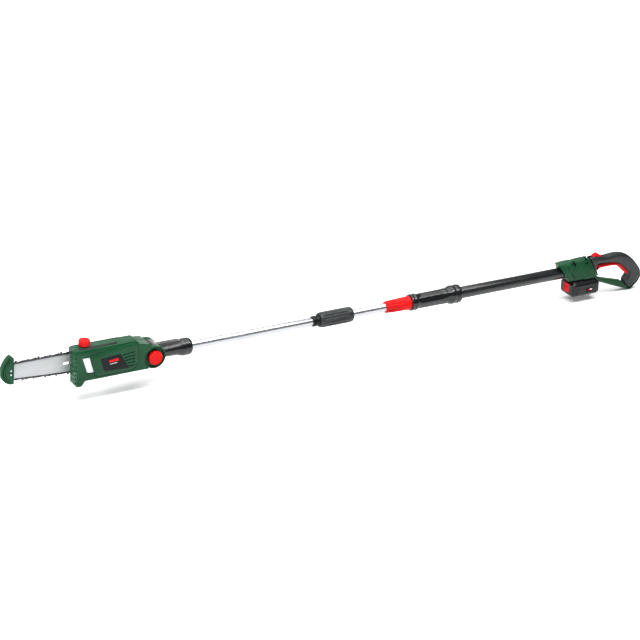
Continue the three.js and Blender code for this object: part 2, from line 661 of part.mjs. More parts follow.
function loopGrip() {
  const channel = [[1120, -18], [1203, -10], [1228, -16], [1281, -60], [1291, -50], [1236, 9],
    [1206, 15], [1118, 15.5]];
  let grip = plateY(gripSide, -LOOP_HALF, LOOP_HALF, 3, 2);
  grip = grip.subtract(plateY(channel, -6.6, 6.6));
  grip = grip.subtract(block([1088, 1147], [-9, 9], [33, 60]));
  grip = grip.subtract(block([1070, 1118], [-7, 7], [-6, 15]));
  add('soft_grip', grip, darkGrey);
  add('trigger', plateY(triggerSide, -6, 6, 1.2), red);
  const slider = [[1100, 33.6], [1139, 33.6], [1141, 38], [1129, 45], [1119, 52], [1110, 51], [1100, 43.5]];
  add('lock_off_slider', plateY(slider, -8, 8, 1.2), red);
}

function handleInside() {
  add('switch_module', plateY([[1046, -6], [1070, -6], [1070, 14], [1046, 14]], -9, 9, 1), black);
  add('control_board', block([1010, 1076], [-22, 22], [-12.5, -10.9]), plastic(0x1e5a38, 0.5));
  const blades = [-8, 0, 8].map((y) => block([1062, 1082], [y - 0.6, y + 0.6], [-30.4, -18]));
  add('battery_terminals', union(block([1060, 1084], [-14, 14], [-21.4, -16]), ...blades), black);
}

// ---------------------------------------------------------------- battery

function battery() {
  const [x0, x1] = BATTERY;
  const side = [
    [x0 + 1, BATTERY_BASE + 8], [x0 + 8, BATTERY_BASE], [x1 - 10, BATTERY_BASE], [x1, BATTERY_BASE + 9],
    [x1, BATTERY_TOP - 9], [x1 - 9, BATTERY_TOP], [x0 + 14, BATTERY_TOP], [x0, BATTERY_TOP - 12],
  ];
  const outer = plateY(side, -BATTERY_HALF, BATTERY_HALF, 7, 2);
  const hollow = plateY(inset(side, WALL), -BATTERY_HALF + WALL, BATTERY_HALF - WALL, 5, 1);
  const latch = block([x0 - 5, x0 + 3.6], [-15.5, 15.5], [-74, -42]);
  const lower = outer.intersect(block([900, 1200], [-60, 60], [-120, BATTERY_SPLIT - GAP / 2]));
  const upper = outer.intersect(block([900, 1200], [-60, 60], [BATTERY_SPLIT + GAP / 2, 0]));
  const latchHole = block([x0 - 6, x0 + 8.5], [-16, 16], [-74.5, -41.5]);
  add('battery_lower_shell', lower.subtract(hollow).subtract(latchHole)
    .subtract(block([x0 + 61.6, x0 + 88.4], [-60, -BATTERY_HALF + 4], [-70, -60])), black);
  const rail = plateX([[-20, -32], [20, -32], [20, -30], [23.4, -30], [23.4, -27], [-23.4, -27],
    [-23.4, -30], [-20, -30]], x0 + 14, x1 - 16);
  const slot = block([x0 + 50, x1 + 5], [-12, 12], [-31.3, -20]);
  add('battery_upper_shell', union(upper, rail.subtract(slot)).subtract(hollow).subtract(latchHole), black);
  add('battery_release_button', latch.intersect(plateY(inset(side, -0.8), -16, 16)), red);
  const button = [[x0 + 66, -65], [x0 + 69, -68], [x0 + 74, -68], [x0 + 74, -62], [x0 + 69, -62]];
  add('battery_gauge_button', plateY(button, -BATTERY_HALF - 0.6, -BATTERY_HALF + 3.4), red);
  const light = block([x0 + 74.6, x0 + 86], [-BATTERY_HALF + 0.4, -BATTERY_HALF + 3], [-68, -62]);
  add('battery_gauge_window', light, plastic(0xd0d2d4, 0.2));
  let cells = block([x0 + 14, x0 + 103], [-20, 20], [-64, -60.5]);
  for (let i = 0; i < 5; i += 1) {
    cells = cells.add(rod(9.1, -32.5, 32.5, 'Y', [x0 + 20.5 + 18.8 * i, 0, -72], 20));
  }
  add('battery_cell_pack', cells, plastic(0x3f7fb0, 0.4));
}

// ---------------------------------------------------------------- assembly

headShells();
headTrim();
drive();
motor();
gearbox();
oiling();
bar();
chain();
tensioner();
guard();
sprocketCover();
tiltJoint();
adapter();
pole();
handleShells();
loopGrip();
handleInside();
battery();

const box = new THREE.Box3().setFromObject(group);
const middle = box.getCenter(new THREE.Vector3());
group.position.set(-middle.x, -middle.y, -box.min.z);

export default group;
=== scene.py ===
import json
import math

import bmesh
import bpy
from mathutils import Matrix, Vector


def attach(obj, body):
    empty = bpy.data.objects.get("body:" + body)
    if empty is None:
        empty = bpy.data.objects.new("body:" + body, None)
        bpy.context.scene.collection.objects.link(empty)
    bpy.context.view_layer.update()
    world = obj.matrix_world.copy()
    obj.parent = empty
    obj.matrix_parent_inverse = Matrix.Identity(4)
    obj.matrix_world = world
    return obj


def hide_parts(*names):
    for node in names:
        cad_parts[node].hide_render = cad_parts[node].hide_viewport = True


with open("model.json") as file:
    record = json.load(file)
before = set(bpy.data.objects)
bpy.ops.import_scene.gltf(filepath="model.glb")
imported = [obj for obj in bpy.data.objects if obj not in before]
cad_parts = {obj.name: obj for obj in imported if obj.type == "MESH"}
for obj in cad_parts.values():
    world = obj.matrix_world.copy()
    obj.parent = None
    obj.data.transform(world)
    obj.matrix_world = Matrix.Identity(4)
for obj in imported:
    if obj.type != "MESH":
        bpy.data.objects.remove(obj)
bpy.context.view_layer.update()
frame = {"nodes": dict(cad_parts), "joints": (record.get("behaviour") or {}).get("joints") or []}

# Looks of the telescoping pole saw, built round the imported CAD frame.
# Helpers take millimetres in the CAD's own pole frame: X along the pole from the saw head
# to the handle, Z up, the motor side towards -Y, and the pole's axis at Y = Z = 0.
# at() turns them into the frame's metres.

MM = 0.001
PIVOT = (-627.0, 0.0, 3.0)
TILT = next(joint for joint in frame["joints"] if joint["name"] == "head_tilt")
ORIGIN = Vector(TILT["pos_m"]) - Vector(PIVOT) * MM


def at(x, y, z):
    return ORIGIN + Vector((x, y, z)) * MM


# ---- camera, floor and light

AZIMUTH = math.radians(32.0)
ELEVATION = math.radians(24.5)
ROLL = math.radians(3.5)
DISTANCE = 8.2
SENSOR = 36.0
LENS = 140.625


def camera():
    look = Vector((math.sin(AZIMUTH) * math.cos(ELEVATION),
                   math.cos(AZIMUTH) * math.cos(ELEVATION),
                   -math.sin(ELEVATION)))
    side = Vector((math.cos(AZIMUTH), -math.sin(AZIMUTH), 0.0))
    up = side.cross(look)
    right = side * math.cos(ROLL) + up * math.sin(ROLL)
    top = up * math.cos(ROLL) - side * math.sin(ROLL)
    data = bpy.data.cameras.new("camera")
    data.lens = LENS
    data.sensor_width = SENSOR
    data.clip_end = 60.0
    shot = new_object("camera", data)
    turn = Matrix((right, top, -look)).transposed().to_4x4()
    shot.matrix_world = Matrix.Translation(ORIGIN - look * DISTANCE) @ turn
    bpy.context.scene.camera = shot


def area_light(name, place, target, size, power):
    data = bpy.data.lights.new(name, "AREA")
    data.shape = "RECTANGLE"
    data.size = size[0]
    data.size_y = size[1]
    data.energy = power
    lamp = new_object(name, data)
    lamp.location = place
    lamp.rotation_euler = (Vector(target) - Vector(place)).to_track_quat("-Z", "Y").to_euler()


def studio():
    world = bpy.data.worlds.new("studio")
    bpy.context.scene.world = world
    world.use_nodes = True
    back = world.node_tree.nodes["Background"]
    back.inputs["Color"].default_value = (1.0, 1.0, 1.0, 1.0)
    back.inputs["Strength"].default_value = 0.22
    area_light("ceiling", (0.0, 0.0, 5.0), (0, 0, 0), (7.0, 7.0), 430)
    area_light("front_strip", (0.0, -1.0, 2.6), (0, 0, 0.1), (4.8, 0.25), 52)
    area_light("side", (-4.4, -0.8, 1.3), (0, 0, 0.1), (1.4, 1.4), 110)
    area_light("backdrop", (0.0, 3.4, 1.1), (0, 0, 0.3), (7.0, 1.8), 60)
    bpy.context.scene.view_settings.view_transform = "Standard"
    bpy.context.scene.view_settings.look = "Medium High Contrast"
    floor_sheet()


def floor_sheet():
    """A wide floor just below the lowest face, so that the two don't fight."""
    mesh = bpy.data.meshes.new("floor")
    half = 9.0
    depth = -0.0006
    mesh.from_pydata([(-half, -half, depth), (half, -half, depth), (half, half, depth),
                      (-half, half, depth)], [], [(0, 1, 2, 3)])
    floor = new_object("floor", mesh)
    mesh.materials.append(floor_material())


# ---- materials

class Nodes:
    """A small helper that adds shader nodes to one material and links them."""

    def __init__(self, name):
        self.material = bpy.data.materials.new(name)
        self.material.use_nodes = True
        self.tree = self.material.node_tree
        self.shader = self.tree.nodes["Principled BSDF"]
        self.place = self.add("ShaderNodeTexCoord").outputs["Object"]

    def add(self, kind, **values):
        node = self.tree.nodes.new(kind)
        for key, value in values.items():
            setattr(node, key, value)
        return node

    def link(self, source, target):
        self.tree.links.new(source, target)

    def noise(self, scale, detail=3.0, stretch=None, rough=0.55):
        node = self.add("ShaderNodeTexNoise")
        node.inputs["Scale"].default_value = scale
        node.inputs["Detail"].default_value = detail
        node.inputs["Roughness"].default_value = rough
        source = self.place
        if stretch:
            mapping = self.add("ShaderNodeMapping")
            mapping.inputs["Scale"].default_value = stretch
            self.link(source, mapping.inputs["Vector"])
            source = mapping.outputs["Vector"]
        self.link(source, node.inputs["Vector"])
        return node.outputs["Fac"]

    def ramp(self, source, low, high, start=0.35, end=0.65):
        node = self.add("ShaderNodeMapRange")
        node.inputs["From Min"].default_value = start
        node.inputs["From Max"].default_value = end
        node.inputs["To Min"].default_value = low
        node.inputs["To Max"].default_value = high
        self.link(source, node.inputs["Value"])
        return node.outputs["Result"]

    def mix(self, factor, first, second):
        """Blends two colours. The node's colour sockets are inputs 6 and 7 and output 2."""
        node = self.add("ShaderNodeMix", data_type="RGBA")
        self.link(factor, node.inputs["Factor"])
        for socket, value in ((node.inputs[6], first), (node.inputs[7], second)):
            if isinstance(value, tuple):
                socket.default_value = (*value, 1.0)
            else:
                self.link(value, socket)
        return node.outputs[2]

    def bump(self, height, strength, distance, onto=None):
        node = self.add("ShaderNodeBump")
        node.inputs["Strength"].default_value = strength
        node.inputs["Distance"].default_value = distance
        self.link(height, node.inputs["Height"])
        if onto:
            self.link(onto, node.inputs["Normal"])
        return node.outputs["Normal"]

    def edges(self, start=0.53, end=0.62):
        point = self.add("ShaderNodeNewGeometry").outputs["Pointiness"]
        return self.ramp(point, 0.0, 1.0, start, end)

    def done(self, color, rough, normal=None, metal=0.0, **sockets):
        self.link(color, self.shader.inputs["Base Color"])
        self.link(rough, self.shader.inputs["Roughness"])
        if normal:
            self.link(normal, self.shader.inputs["Normal"])
        self.shader.inputs["Metallic"].default_value = metal
        for key, value in sockets.items():
            self.shader.inputs[key.replace("_", " ")].default_value = value
        return self.material


def tint(color, factor):
    return tuple(min(1.0, channel * factor) for channel in color)


def plastic(name, color, rough=0.4, grain=0.25, scale=900.0, wear=0.35, coat=0.0, shine=0.32):
    """Moulded plastic: spark-eroded grain, faint flow marks and paler rubbed edges."""
    n = Nodes(name)
    cloud = n.noise(14.0, 4.0)
    body = n.mix(n.ramp(cloud, 0.0, 1.0), tint(color, 0.86), tint(color, 1.12))
    rubbed = n.mix(n.ramp(n.noise(60.0), 0.2, 1.0), tint(color, 1.15), tint(color, 1.9))
    worn = n.add("ShaderNodeMath", operation="MULTIPLY")
    n.link(n.edges(), worn.inputs[0])
    worn.inputs[1].default_value = wear
    color_out = n.mix(worn.outputs[0], body, rubbed)
    roughness = n.ramp(n.noise(38.0, 5.0), rough - 0.07, rough + 0.09)
    fine = n.bump(n.noise(scale, 2.0), grain, 0.00012)
    normal = n.bump(n.noise(9.0, 2.0), 0.08, 0.002, fine)
    return n.done(color_out, roughness, normal, Coat_Weight=coat, Coat_Roughness=0.25,
                  Specular_IOR_Level=shine)


def rubber(name, color, rough=0.62):
    """Soft overmould or foam: dull, finely pitted, slightly dusty on top."""
    n = Nodes(name)
    dust = n.ramp(n.noise(22.0, 6.0, rough=0.7), 0.0, 0.6, 0.45, 0.75)
    color_out = n.mix(dust, tint(color, 0.9), tint(color, 1.7))
    pits = n.add("ShaderNodeTexVoronoi")
    pits.inputs["Scale"].default_value = 700.0
    n.link(n.place, pits.inputs["Vector"])
    normal = n.bump(pits.outputs["Distance"], 0.35, 0.00015)
    roughness = n.ramp(n.noise(50.0, 4.0), rough - 0.08, rough + 0.1)
    return n.done(color_out, roughness, normal, Sheen_Weight=0.03, Sheen_Roughness=0.5,
                  Specular_IOR_Level=0.45)


def brushed(name, color, rough, stretch, scale=160.0, depth=0.00004, smear=0.25, metal=1.0):
    """Metal with drawn or ground lines, which run along the axis that stretch leaves short."""
    n = Nodes(name)
    lines = n.noise(scale, 5.0, stretch, 0.7)
    marks = n.noise(7.0, 5.0)
    color_out = n.mix(n.ramp(lines, 0.0, 1.0, 0.3, 0.7), tint(color, 0.9), tint(color, 1.06))
    dull = n.mix(n.ramp(marks, 0.0, smear, 0.5, 0.75), color_out, tint(color, 0.7))
    spread = n.add("ShaderNodeMath", operation="ADD")
    n.link(n.ramp(lines, rough - 0.07, rough + 0.07, 0.3, 0.7), spread.inputs[0])
    n.link(n.ramp(marks, -0.03, 0.06), spread.inputs[1])
    normal = n.bump(lines, 0.4, depth)
    return n.done(dull, spread.outputs[0], normal, metal)


def oiled_steel(name, color, rough=0.35):
    """Blued chain steel: dark film, brighter rubbed edges and oil patches."""
    n = Nodes(name)
    film = n.mix(n.ramp(n.noise(120.0, 5.0), 0.0, 1.0), tint(color, 0.6), tint(color, 1.3))
    bright = n.mix(n.edges(0.53, 0.64), film, (0.16, 0.16, 0.17))
    roughness = n.ramp(n.noise(90.0, 4.0), rough - 0.12, rough + 0.15)
    normal = n.bump(n.noise(600.0, 3.0), 0.3, 0.00006)
    return n.done(bright, roughness, normal, 0.6, Specular_IOR_Level=0.3)


def frosted(name, color):
    """Translucent moulded plastic that shows a little light through."""
    n = Nodes(name)
    color_out = n.mix(n.ramp(n.noise(30.0, 4.0), 0.0, 1.0), tint(color, 0.93), tint(color, 1.03))
    roughness = n.ramp(n.noise(80.0, 3.0), 0.22, 0.36)
    normal = n.bump(n.noise(500.0, 2.0), 0.15, 0.0001)
    return n.done(color_out, roughness, normal, Transmission_Weight=0.15, IOR=1.48)


def lacquer(name, color, rough=0.28):
    """Powder-coated tube: soft orange peel under a clear gloss."""
    n = Nodes(name)
    color_out = n.mix(n.ramp(n.noise(18.0, 4.0), 0.0, 1.0), tint(color, 0.8), tint(color, 1.25))
    scuffs = n.noise(90.0, 6.0, (0.06, 1.0, 1.0), 0.7)
    color_out = n.mix(n.ramp(scuffs, 0.0, 0.5, 0.62, 0.75), color_out, tint(color, 3.0))
    roughness = n.ramp(scuffs, rough - 0.05, rough + 0.1)
    normal = n.bump(n.noise(420.0, 2.0), 0.18, 0.0001)
    return n.done(color_out, roughness, normal, Coat_Weight=0.25, Coat_Roughness=0.15)


def floor_material():
    n = Nodes("floor_paper")
    color = n.mix(n.ramp(n.noise(2.0, 3.0), 0.0, 1.0), (0.9, 0.9, 0.9), (0.93, 0.93, 0.93))
    return n.done(color, n.ramp(n.noise(8.0), 0.75, 0.85))


GREEN = plastic("green_plastic", (0.0095, 0.060, 0.026), 0.36, 0.22, shine=0.22)
RED = plastic("red_plastic", (0.50, 0.007, 0.008), 0.36, 0.18, shine=0.16)
BLACK = plastic("black_plastic", (0.007, 0.008, 0.009), 0.32, 0.22, wear=0.25, shine=0.22)
BATTERY_BLACK = plastic("battery_plastic", (0.008, 0.009, 0.010), 0.32, 0.3, 700.0, 0.25, shine=0.4)
GLOSS = plastic("adapter_plastic", (0.006, 0.007, 0.008), 0.2, 0.10, wear=0.2, coat=0.2, shine=0.5)
SOFT = rubber("soft_grip_rubber", (0.016, 0.019, 0.020), 0.42)
ALLOY = brushed("aluminium_tube", (0.44, 0.45, 0.47), 0.3, (0.02, 1.0, 1.0))
BAR = brushed("bar_steel", (0.40, 0.41, 0.42), 0.42, (0.05, 1.0, 1.0), 260.0, 0.00003, 0.12, 0.55)
STEEL = brushed("machined_steel", (0.50, 0.51, 0.53), 0.28, (1.0, 0.2, 1.0), 300.0)
CHAIN = oiled_steel("chain_steel", (0.008, 0.0085, 0.0095))
CUTTER = oiled_steel("cutter_steel", (0.012, 0.013, 0.015), 0.3)
COATED = lacquer("rear_tube_coat", (0.010, 0.011, 0.012))
CLEAR = frosted("clear_plastic", (0.70, 0.72, 0.75))
NYLON = plastic("natural_nylon", (0.66, 0.65, 0.58), 0.45, 0.2)
LABEL = plastic("label_film", (0.008, 0.009, 0.011), 0.3, 0.02, 300.0, 0.1, 0.0, 0.2)
CAN = brushed("motor_can_plate", (0.30, 0.31, 0.33), 0.35, (1.0, 0.05, 1.0))
BRASS = brushed("pinion_brass", (0.62, 0.45, 0.20), 0.3, (1.0, 0.2, 1.0))
BOARD = plastic("circuit_board", (0.01, 0.10, 0.035), 0.35, 0.3, 400.0)
CELL = plastic("cell_sleeve", (0.05, 0.16, 0.40), 0.25, 0.05, 300.0, 0.1, 0.3)
GREY_INK = plastic("label_grey", (0.45, 0.46, 0.47), 0.35, 0.05, 300.0, 0.1)


# ---- mesh helpers

def new_object(name, data):
    obj = bpy.data.objects.new(name, data)
    bpy.context.scene.collection.objects.link(obj)
    return obj


def from_bmesh(name, bm):
    bmesh.ops.recalc_face_normals(bm, faces=bm.faces[:])
    mesh = bpy.data.meshes.new(name)
    bm.to_mesh(mesh)
    bm.free()
    return new_object(name, mesh)


def settle(obj):
    """Applies every modifier to the mesh."""
    graph = bpy.context.evaluated_depsgraph_get()
    mesh = bpy.data.meshes.new_from_object(obj.evaluated_get(graph))
    obj.modifiers.clear()
    old = obj.data
    obj.data = mesh
    bpy.data.meshes.remove(old)
    return obj


def drop(*objects):
    for obj in objects:
        bpy.data.objects.remove(obj)


def joined(name, objects):
    """One object from several closed meshes, which may cross each other."""
    bm = bmesh.new()
    for obj in objects:
        bm.from_mesh(obj.data)
    mesh = bpy.data.meshes.new(name)
    bm.to_mesh(mesh)
    bm.free()
    drop(*objects)
    return new_object(name, mesh)


def copy_of(*nodes):
    """A working copy of some CAD nodes' solids, with their corners merged."""
    bm = bmesh.new()
    for node in nodes:
        bm.from_mesh(frame["nodes"][node].data)
    bmesh.ops.remove_doubles(bm, verts=bm.verts[:], dist=1e-5)
    return from_bmesh(nodes[0] + "_copy", bm)


def cut(obj, *cutters):
    for cutter in cutters:
        step = obj.modifiers.new("cut", "BOOLEAN")
        step.operation = "DIFFERENCE"
        step.object = cutter
        step.solver = "MANIFOLD"
    settle(obj)
    drop(*cutters)
    return obj


def soften(obj, voxel, smooth=6, ratio=0.3, move=None):
    """Rounds every edge as a mould would: fine remesh, smoothing, then fewer faces on the flats."""
    remesh = obj.modifiers.new("remesh", "REMESH")
    remesh.mode = "VOXEL"
    remesh.voxel_size = voxel * MM
    remesh.use_smooth_shade = True
    if move:
        settle(obj)
        for vert in obj.data.vertices:
            vert.co = at(*move(*((vert.co - ORIGIN) / MM)))
    ease = obj.modifiers.new("smooth", "SMOOTH")
    ease.factor = 0.5
    ease.iterations = smooth
    thin = obj.modifiers.new("thin", "DECIMATE")
    thin.ratio = ratio
    settle(obj)
    return shade(obj, 50)


def shade(obj, angle=35):
    for polygon in obj.data.polygons:
        polygon.use_smooth = True
    obj.data.set_sharp_from_angle(angle=math.radians(angle))
    return obj


def piece(obj, name, body, material, slot, *nodes):
    """Names a finished mesh, gives it its material and body, and hides the CAD nodes that it stands in
    for.
    """
    obj.name = name
    obj.data.name = name
    obj.data.materials.clear()
    obj.data.materials.append(material)
    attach(obj, body)
    if nodes:
        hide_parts(*nodes)


def lift(outline, level, axis):
    """Outline points on a plane across an axis, in metres."""
    if axis == "Y":
        return [at(a, level, b) for a, b in outline]
    if axis == "Z":
        return [at(a, b, level) for a, b in outline]
    return [at(level, a, b) for a, b in outline]


def prism(outline, low, high, axis="Y", bevel=0.0, segments=2):
    bm = bmesh.new()
    base = [bm.verts.new(point) for point in lift(outline, low, axis)]
    top = [bm.verts.new(point) for point in lift(outline, high, axis)]
    bm.faces.new(base)
    bm.faces.new(top[::-1])
    for i, vert in enumerate(base):
        following = (i + 1) % len(base)
        bm.faces.new((vert, top[i], top[following], base[following]))
    bmesh.ops.recalc_face_normals(bm, faces=bm.faces[:])
    if bevel:
        bmesh.ops.bevel(bm, geom=bm.edges[:], offset=bevel * MM, segments=segments,
                        profile=0.5, affect="EDGES", clamp_overlap=True)
    return from_bmesh("prism", bm)


def block(x, y, z, bevel=0.0, segments=2):
    outline = [(x[0], z[0]), (x[1], z[0]), (x[1], z[1]), (x[0], z[1])]
    return prism(outline, y[0], y[1], "Y", bevel, segments)


def circle(radius, count=32, x=0.0, y=0.0):
    step = 2 * math.pi / count
    return [(x + radius * math.cos(i * step), y + radius * math.sin(i * step))
            for i in range(count)]


def inset(points, depth):
    """An outline with every side moved inwards by that depth."""
    area = sum(a[0] * b[1] - b[0] * a[1] for a, b in zip(points, points[1:] + points[:1]))
    turn = 1 if area > 0 else -1
    result = []
    for i, point in enumerate(points):
        before = (Vector(point) - Vector(points[i - 1])).normalized()
        after = (Vector(points[(i + 1) % len(points)]) - Vector(point)).normalized()
        bisector = Vector((-before.y - after.y, before.x + after.x)) * turn
        share = max(0.35, bisector.length / 2)
        result.append(tuple(Vector(point) + bisector.normalized() * depth / share))
    return result


def tiered(outline, tiers, radius=0.0, steps=5):
    """A solid whose sides step through (inset, Y level) rings of one outline, corners rounded."""
    bm = bmesh.new()
    rings = []
    for depth, level in tiers:
        line = inset(outline, depth)
        if radius:
            line = fillet(line, max(0.8, radius - 0.6 * depth), steps, True)
        rings.append([bm.verts.new(at(x, level, z)) for x, z in line])
    for first, second in zip(rings, rings[1:]):
        for i, vert in enumerate(first):
            j = (i + 1) % len(first)
            bm.faces.new((vert, second[i], second[j], first[j]))
    bm.faces.new(rings[0])
    bm.faces.new(rings[-1][::-1])
    return from_bmesh("tiered", bm)


def gap_to(point, line):
    """The distance from a point to a line of points, all in one plane."""
    px, py = point
    best = math.inf
    for (ax, ay), (bx, by) in zip(line, line[1:]):
        dx, dy = bx - ax, by - ay
        t = ((px - ax) * dx + (py - ay) * dy) / (dx * dx + dy * dy)
        t = min(1.0, max(0.0, t))
        best = min(best, (ax + dx * t - px) ** 2 + (ay + dy * t - py) ** 2)
    return math.sqrt(best)


def ease_in(value, low, high):
    t = min(1.0, max(0.0, (value - low) / (high - low)))
    return t * t * (3 - 2 * t)


def wave(angle, count, power=1):
    """A run of count rounded crests from 0 to 1 round a full turn, sharper with more power."""
    return (0.5 + 0.5 * math.cos(count * angle)) ** power


def strip(line, width):
    """An outline of a band of that width along a line of points."""
    left, right = [], []
    for i, (x, y) in enumerate(line):
        x0, y0 = line[max(i - 1, 0)]
        x1, y1 = line[min(i + 1, len(line) - 1)]
        length = math.hypot(x1 - x0, y1 - y0)
        nx, ny = -(y1 - y0) / length * width / 2, (x1 - x0) / length * width / 2
        left.append((x + nx, y + ny))
        right.append((x - nx, y - ny))
    return left + right[::-1]


def fillet(points, radius, steps=3, closed=False):
    """Rounds the corners of a line of points with short arcs."""
    result = []
    count = len(points)
    for i, point in enumerate(points):
        if not closed and i in (0, count - 1):
            result.append(point)
            continue
        corner = Vector(point)
        before = Vector(points[i - 1]) - corner
        after = Vector(points[(i + 1) % count]) - corner
        reach = min(radius, before.length * 0.45, after.length * 0.45)
        start = corner + before.normalized() * reach
        end = corner + after.normalized() * reach
        for step in range(steps + 1):
            t = step / steps
            bend = start * (1 - t) ** 2 + corner * 2 * t * (1 - t) + end * t ** 2
            result.append(tuple(bend))
    return result


def curve(points, steps=6):
    """A Catmull-Rom line through the points."""
    dense = []
    for i in range(len(points) - 1):
        p0 = Vector(points[max(i - 1, 0)])
        p1, p2 = Vector(points[i]), Vector(points[i + 1])
        p3 = Vector(points[min(i + 2, len(points) - 1)])
        for step in range(steps):
            t = step / steps
            dense.append(tuple(0.5 * (2 * p1 + (p2 - p0) * t
                                      + (2 * p0 - 5 * p1 + 4 * p2 - p3) * t * t
                                      + (3 * p1 - 3 * p2 + p3 - p0) * t ** 3)))
    dense.append(tuple(points[-1]))
    return dense


def turned(profile, axis="X", centre=(0, 0, 0), sides=72, ripple=None):
    """A turned mesh. The profile's (station, radius) points end on the axis or meet again."""
    looped = profile[0] == profile[-1]
    stations = profile[:-1] if looped else profile
    bm = bmesh.new()
    rings = []
    for station, radius in stations:
        ring = []
        for i in range(1 if radius < 1e-6 else sides):
            angle = 2 * math.pi * i / sides
            reach = radius + (ripple(angle, station, radius) if ripple and radius > 0 else 0.0)
            a, b = reach * math.cos(angle), reach * math.sin(angle)
            spot = {"X": (station, a, b), "Y": (a, station, b), "Z": (a, b, station)}[axis]
            ring.append(bm.verts.new(at(*(Vector(centre) + Vector(spot)))))
        rings.append(ring)
    pairs = list(zip(rings, rings[1:]))
    if looped:
        pairs.append((rings[-1], rings[0]))
    for first, second in pairs:
        for i in range(sides):
            j = (i + 1) % sides
            if len(first) == 1 and len(second) == 1:
                continue
            if len(first) == 1:
                bm.faces.new((first[0], second[i], second[j]))
            elif len(second) == 1:
                bm.faces.new((first[i], second[0], first[j]))
            else:
                bm.faces.new((first[i], second[i], second[j], first[j]))
    return from_bmesh("turned", bm)


def pipe(inner, outer, x0, x1, sides=64):
    corners = [(x0, inner), (x0, outer), (x1, outer), (x1, inner)]
    profile = fillet(corners, 0.4, 2, True)
    return shade(turned(profile + profile[:1], "X", (0, 0, 0), sides))


# ---- saw head: housing

RIB_PITCH = 14.3
FAR_SCREWS = ((-738, 24), (-664, 40), (-664, -18), (-738, -20))
PANEL = [(-857, 52), (-839, -12), (-827, -20), (-706, -20), (-690, 0), (-690, 60), (-702, 74)]
PANEL_TIERS = [(0.6, -43.6), (0, -44.2), (0, -45.6), (0.5, -46), (6.4, -49.6), (7.2, -49.9),
               (8.2, -50)]
LABEL_AT = [(-823, 39), (-810, -5), (-723, -10), (-753, 44)]


def head_cutters():
    """Front notches, the top seam's channel, the gap round the panel and the button's well."""
    cutters = []
    for i in range(8):
        z = -35 + RIB_PITCH * i
        cutters.append(block((-903, -894), (-41.5, -34), (z - 3.4, z + 3.4), 0.8, 1))
    for i in range(7):
        z = -28 + RIB_PITCH * i
        cutters.append(block((-902.5, -899), (-30.5, 4), (z - 1.6, z + 1.6)))
    cutters.append(prism([(-38.6, 75.8), (-38.6, 83), (-32, 83), (-32, 75.8)], -892, -760, "X"))
    rim = PANEL + PANEL[:1]
    cutters += [prism(strip([a, b], 2.4), -46.5, -43.6) for a, b in zip(rim, rim[1:])]
    well = [(-41, 22), (-41, 33.2), (-35.5, 31.4), (-34, 30), (-34, 22), (-41, 22)]
    cutters.append(turned(well, "Y", PIVOT))
    return cutters


def head_shells():
    ring = [(-39.8, 22.6), (-39.8, 33), (-40.6, 34.4), (-40.6, 36.6), (-39.2, 38.6), (-30, 38.8),
            (-30, 22.6), (-39.8, 22.6)]
    left = joined("left", [copy_of("head_shell_left"), turned(ring, "Y", PIVOT)])
    left = soften(cut(left, *head_cutters()), 0.85, 5, 0.25)
    piece(left, "head_cover_left", "head", GREEN, "green_plastic", "head_shell_left")
    far_ring = turned([(-s, r) for s, r in ring], "Y", PIVOT)
    right = joined("right", [copy_of("head_shell_right"), far_ring])
    cutters = [block((-736, -700), (36.6, 40), (z - 1.1, z + 1.1)) for z in (-18, -11, -4, 3, 10)]
    cutters += [turned([(35, 0), (35, 4.6), (39, 4.6), (39, 0)], "Y", (x, 0, z), 32)
                for x, z in FAR_SCREWS]
    cutters += [block((-902.5, -899.2), (-5.5, 4), (RIB_PITCH * i - 29.2, RIB_PITCH * i - 26.8))
                for i in range(7)]
    right = soften(cut(right, *cutters), 0.85, 5, 0.25)
    piece(right, "head_cover_right", "head", GREEN, "green_plastic", "head_shell_right")
    screws = [torx_screw((x, 35.2, z), 3.9, 2.6) for x, z in FAR_SCREWS]
    piece(joined("screws", screws), "head_screws", "head", STEEL, "steel")


def six_lobes(x, z, middle, wave):
    """A six-lobed socket's outline, whose radius swings by wave about the middle one."""
    star = []
    for i in range(24):
        angle = math.pi * i / 12
        reach = middle + wave * math.cos(6 * angle)
        star.append((x + reach * math.cos(angle), z + reach * math.sin(angle)))
    return star


def torx_screw(base, radius, height):
    """A domed pan head with a six-lobed socket, standing on base and facing +Y."""
    x, y, z = base
    dome = [(0, 0), (0, radius), (height * 0.4, radius), (height * 0.75, radius * 0.86),
            (height * 0.96, radius * 0.55), (height, 0)]
    head = turned(dome, "Y", base, 32)
    socket = six_lobes(x, z, radius * 0.42, radius * 0.07)
    return shade(cut(head, prism(socket, y + height * 0.45, y + height + 1)))


def motor_panel():
    panel = tiered(PANEL, PANEL_TIERS, 12, 6)
    vents = [prism(fillet(line, 0.9, 2, True), -52, -46.6) for line in vent_slots()]
    plate = fillet(LABEL_AT, 3, 4, True)
    panel = shade(cut(panel, prism(plate, -52, -49.3), *vents), 25)
    piece(panel, "motor_panel", "head", GREEN, "green_plastic", "side_panel")


def label():
    """A dark film with one plain bar and one plain line on it."""
    film = tiered(LABEL_AT, [(0.4, -49.4), (0.4, -50), (0.8, -50.15)], 3, 4)
    piece(shade(film), "label_film", "head", LABEL, "black_plastic", "label_plate")
    bar = prism([(-794, 28.6), (-791.6, 21), (-758, 23.6), (-762, 31.6)], -50.5, -50.1, "Y", 0.1, 1)
    piece(bar, "label_red_bar", "head", RED, "red_plastic")
    line = prism([(-790.4, 16.6), (-789.6, 14), (-764, 15.8), (-765, 18.4)], -50.4, -50.1, "Y", 0.1, 1)
    piece(line, "label_grey_line", "head", GREY_INK, "clear_plastic")


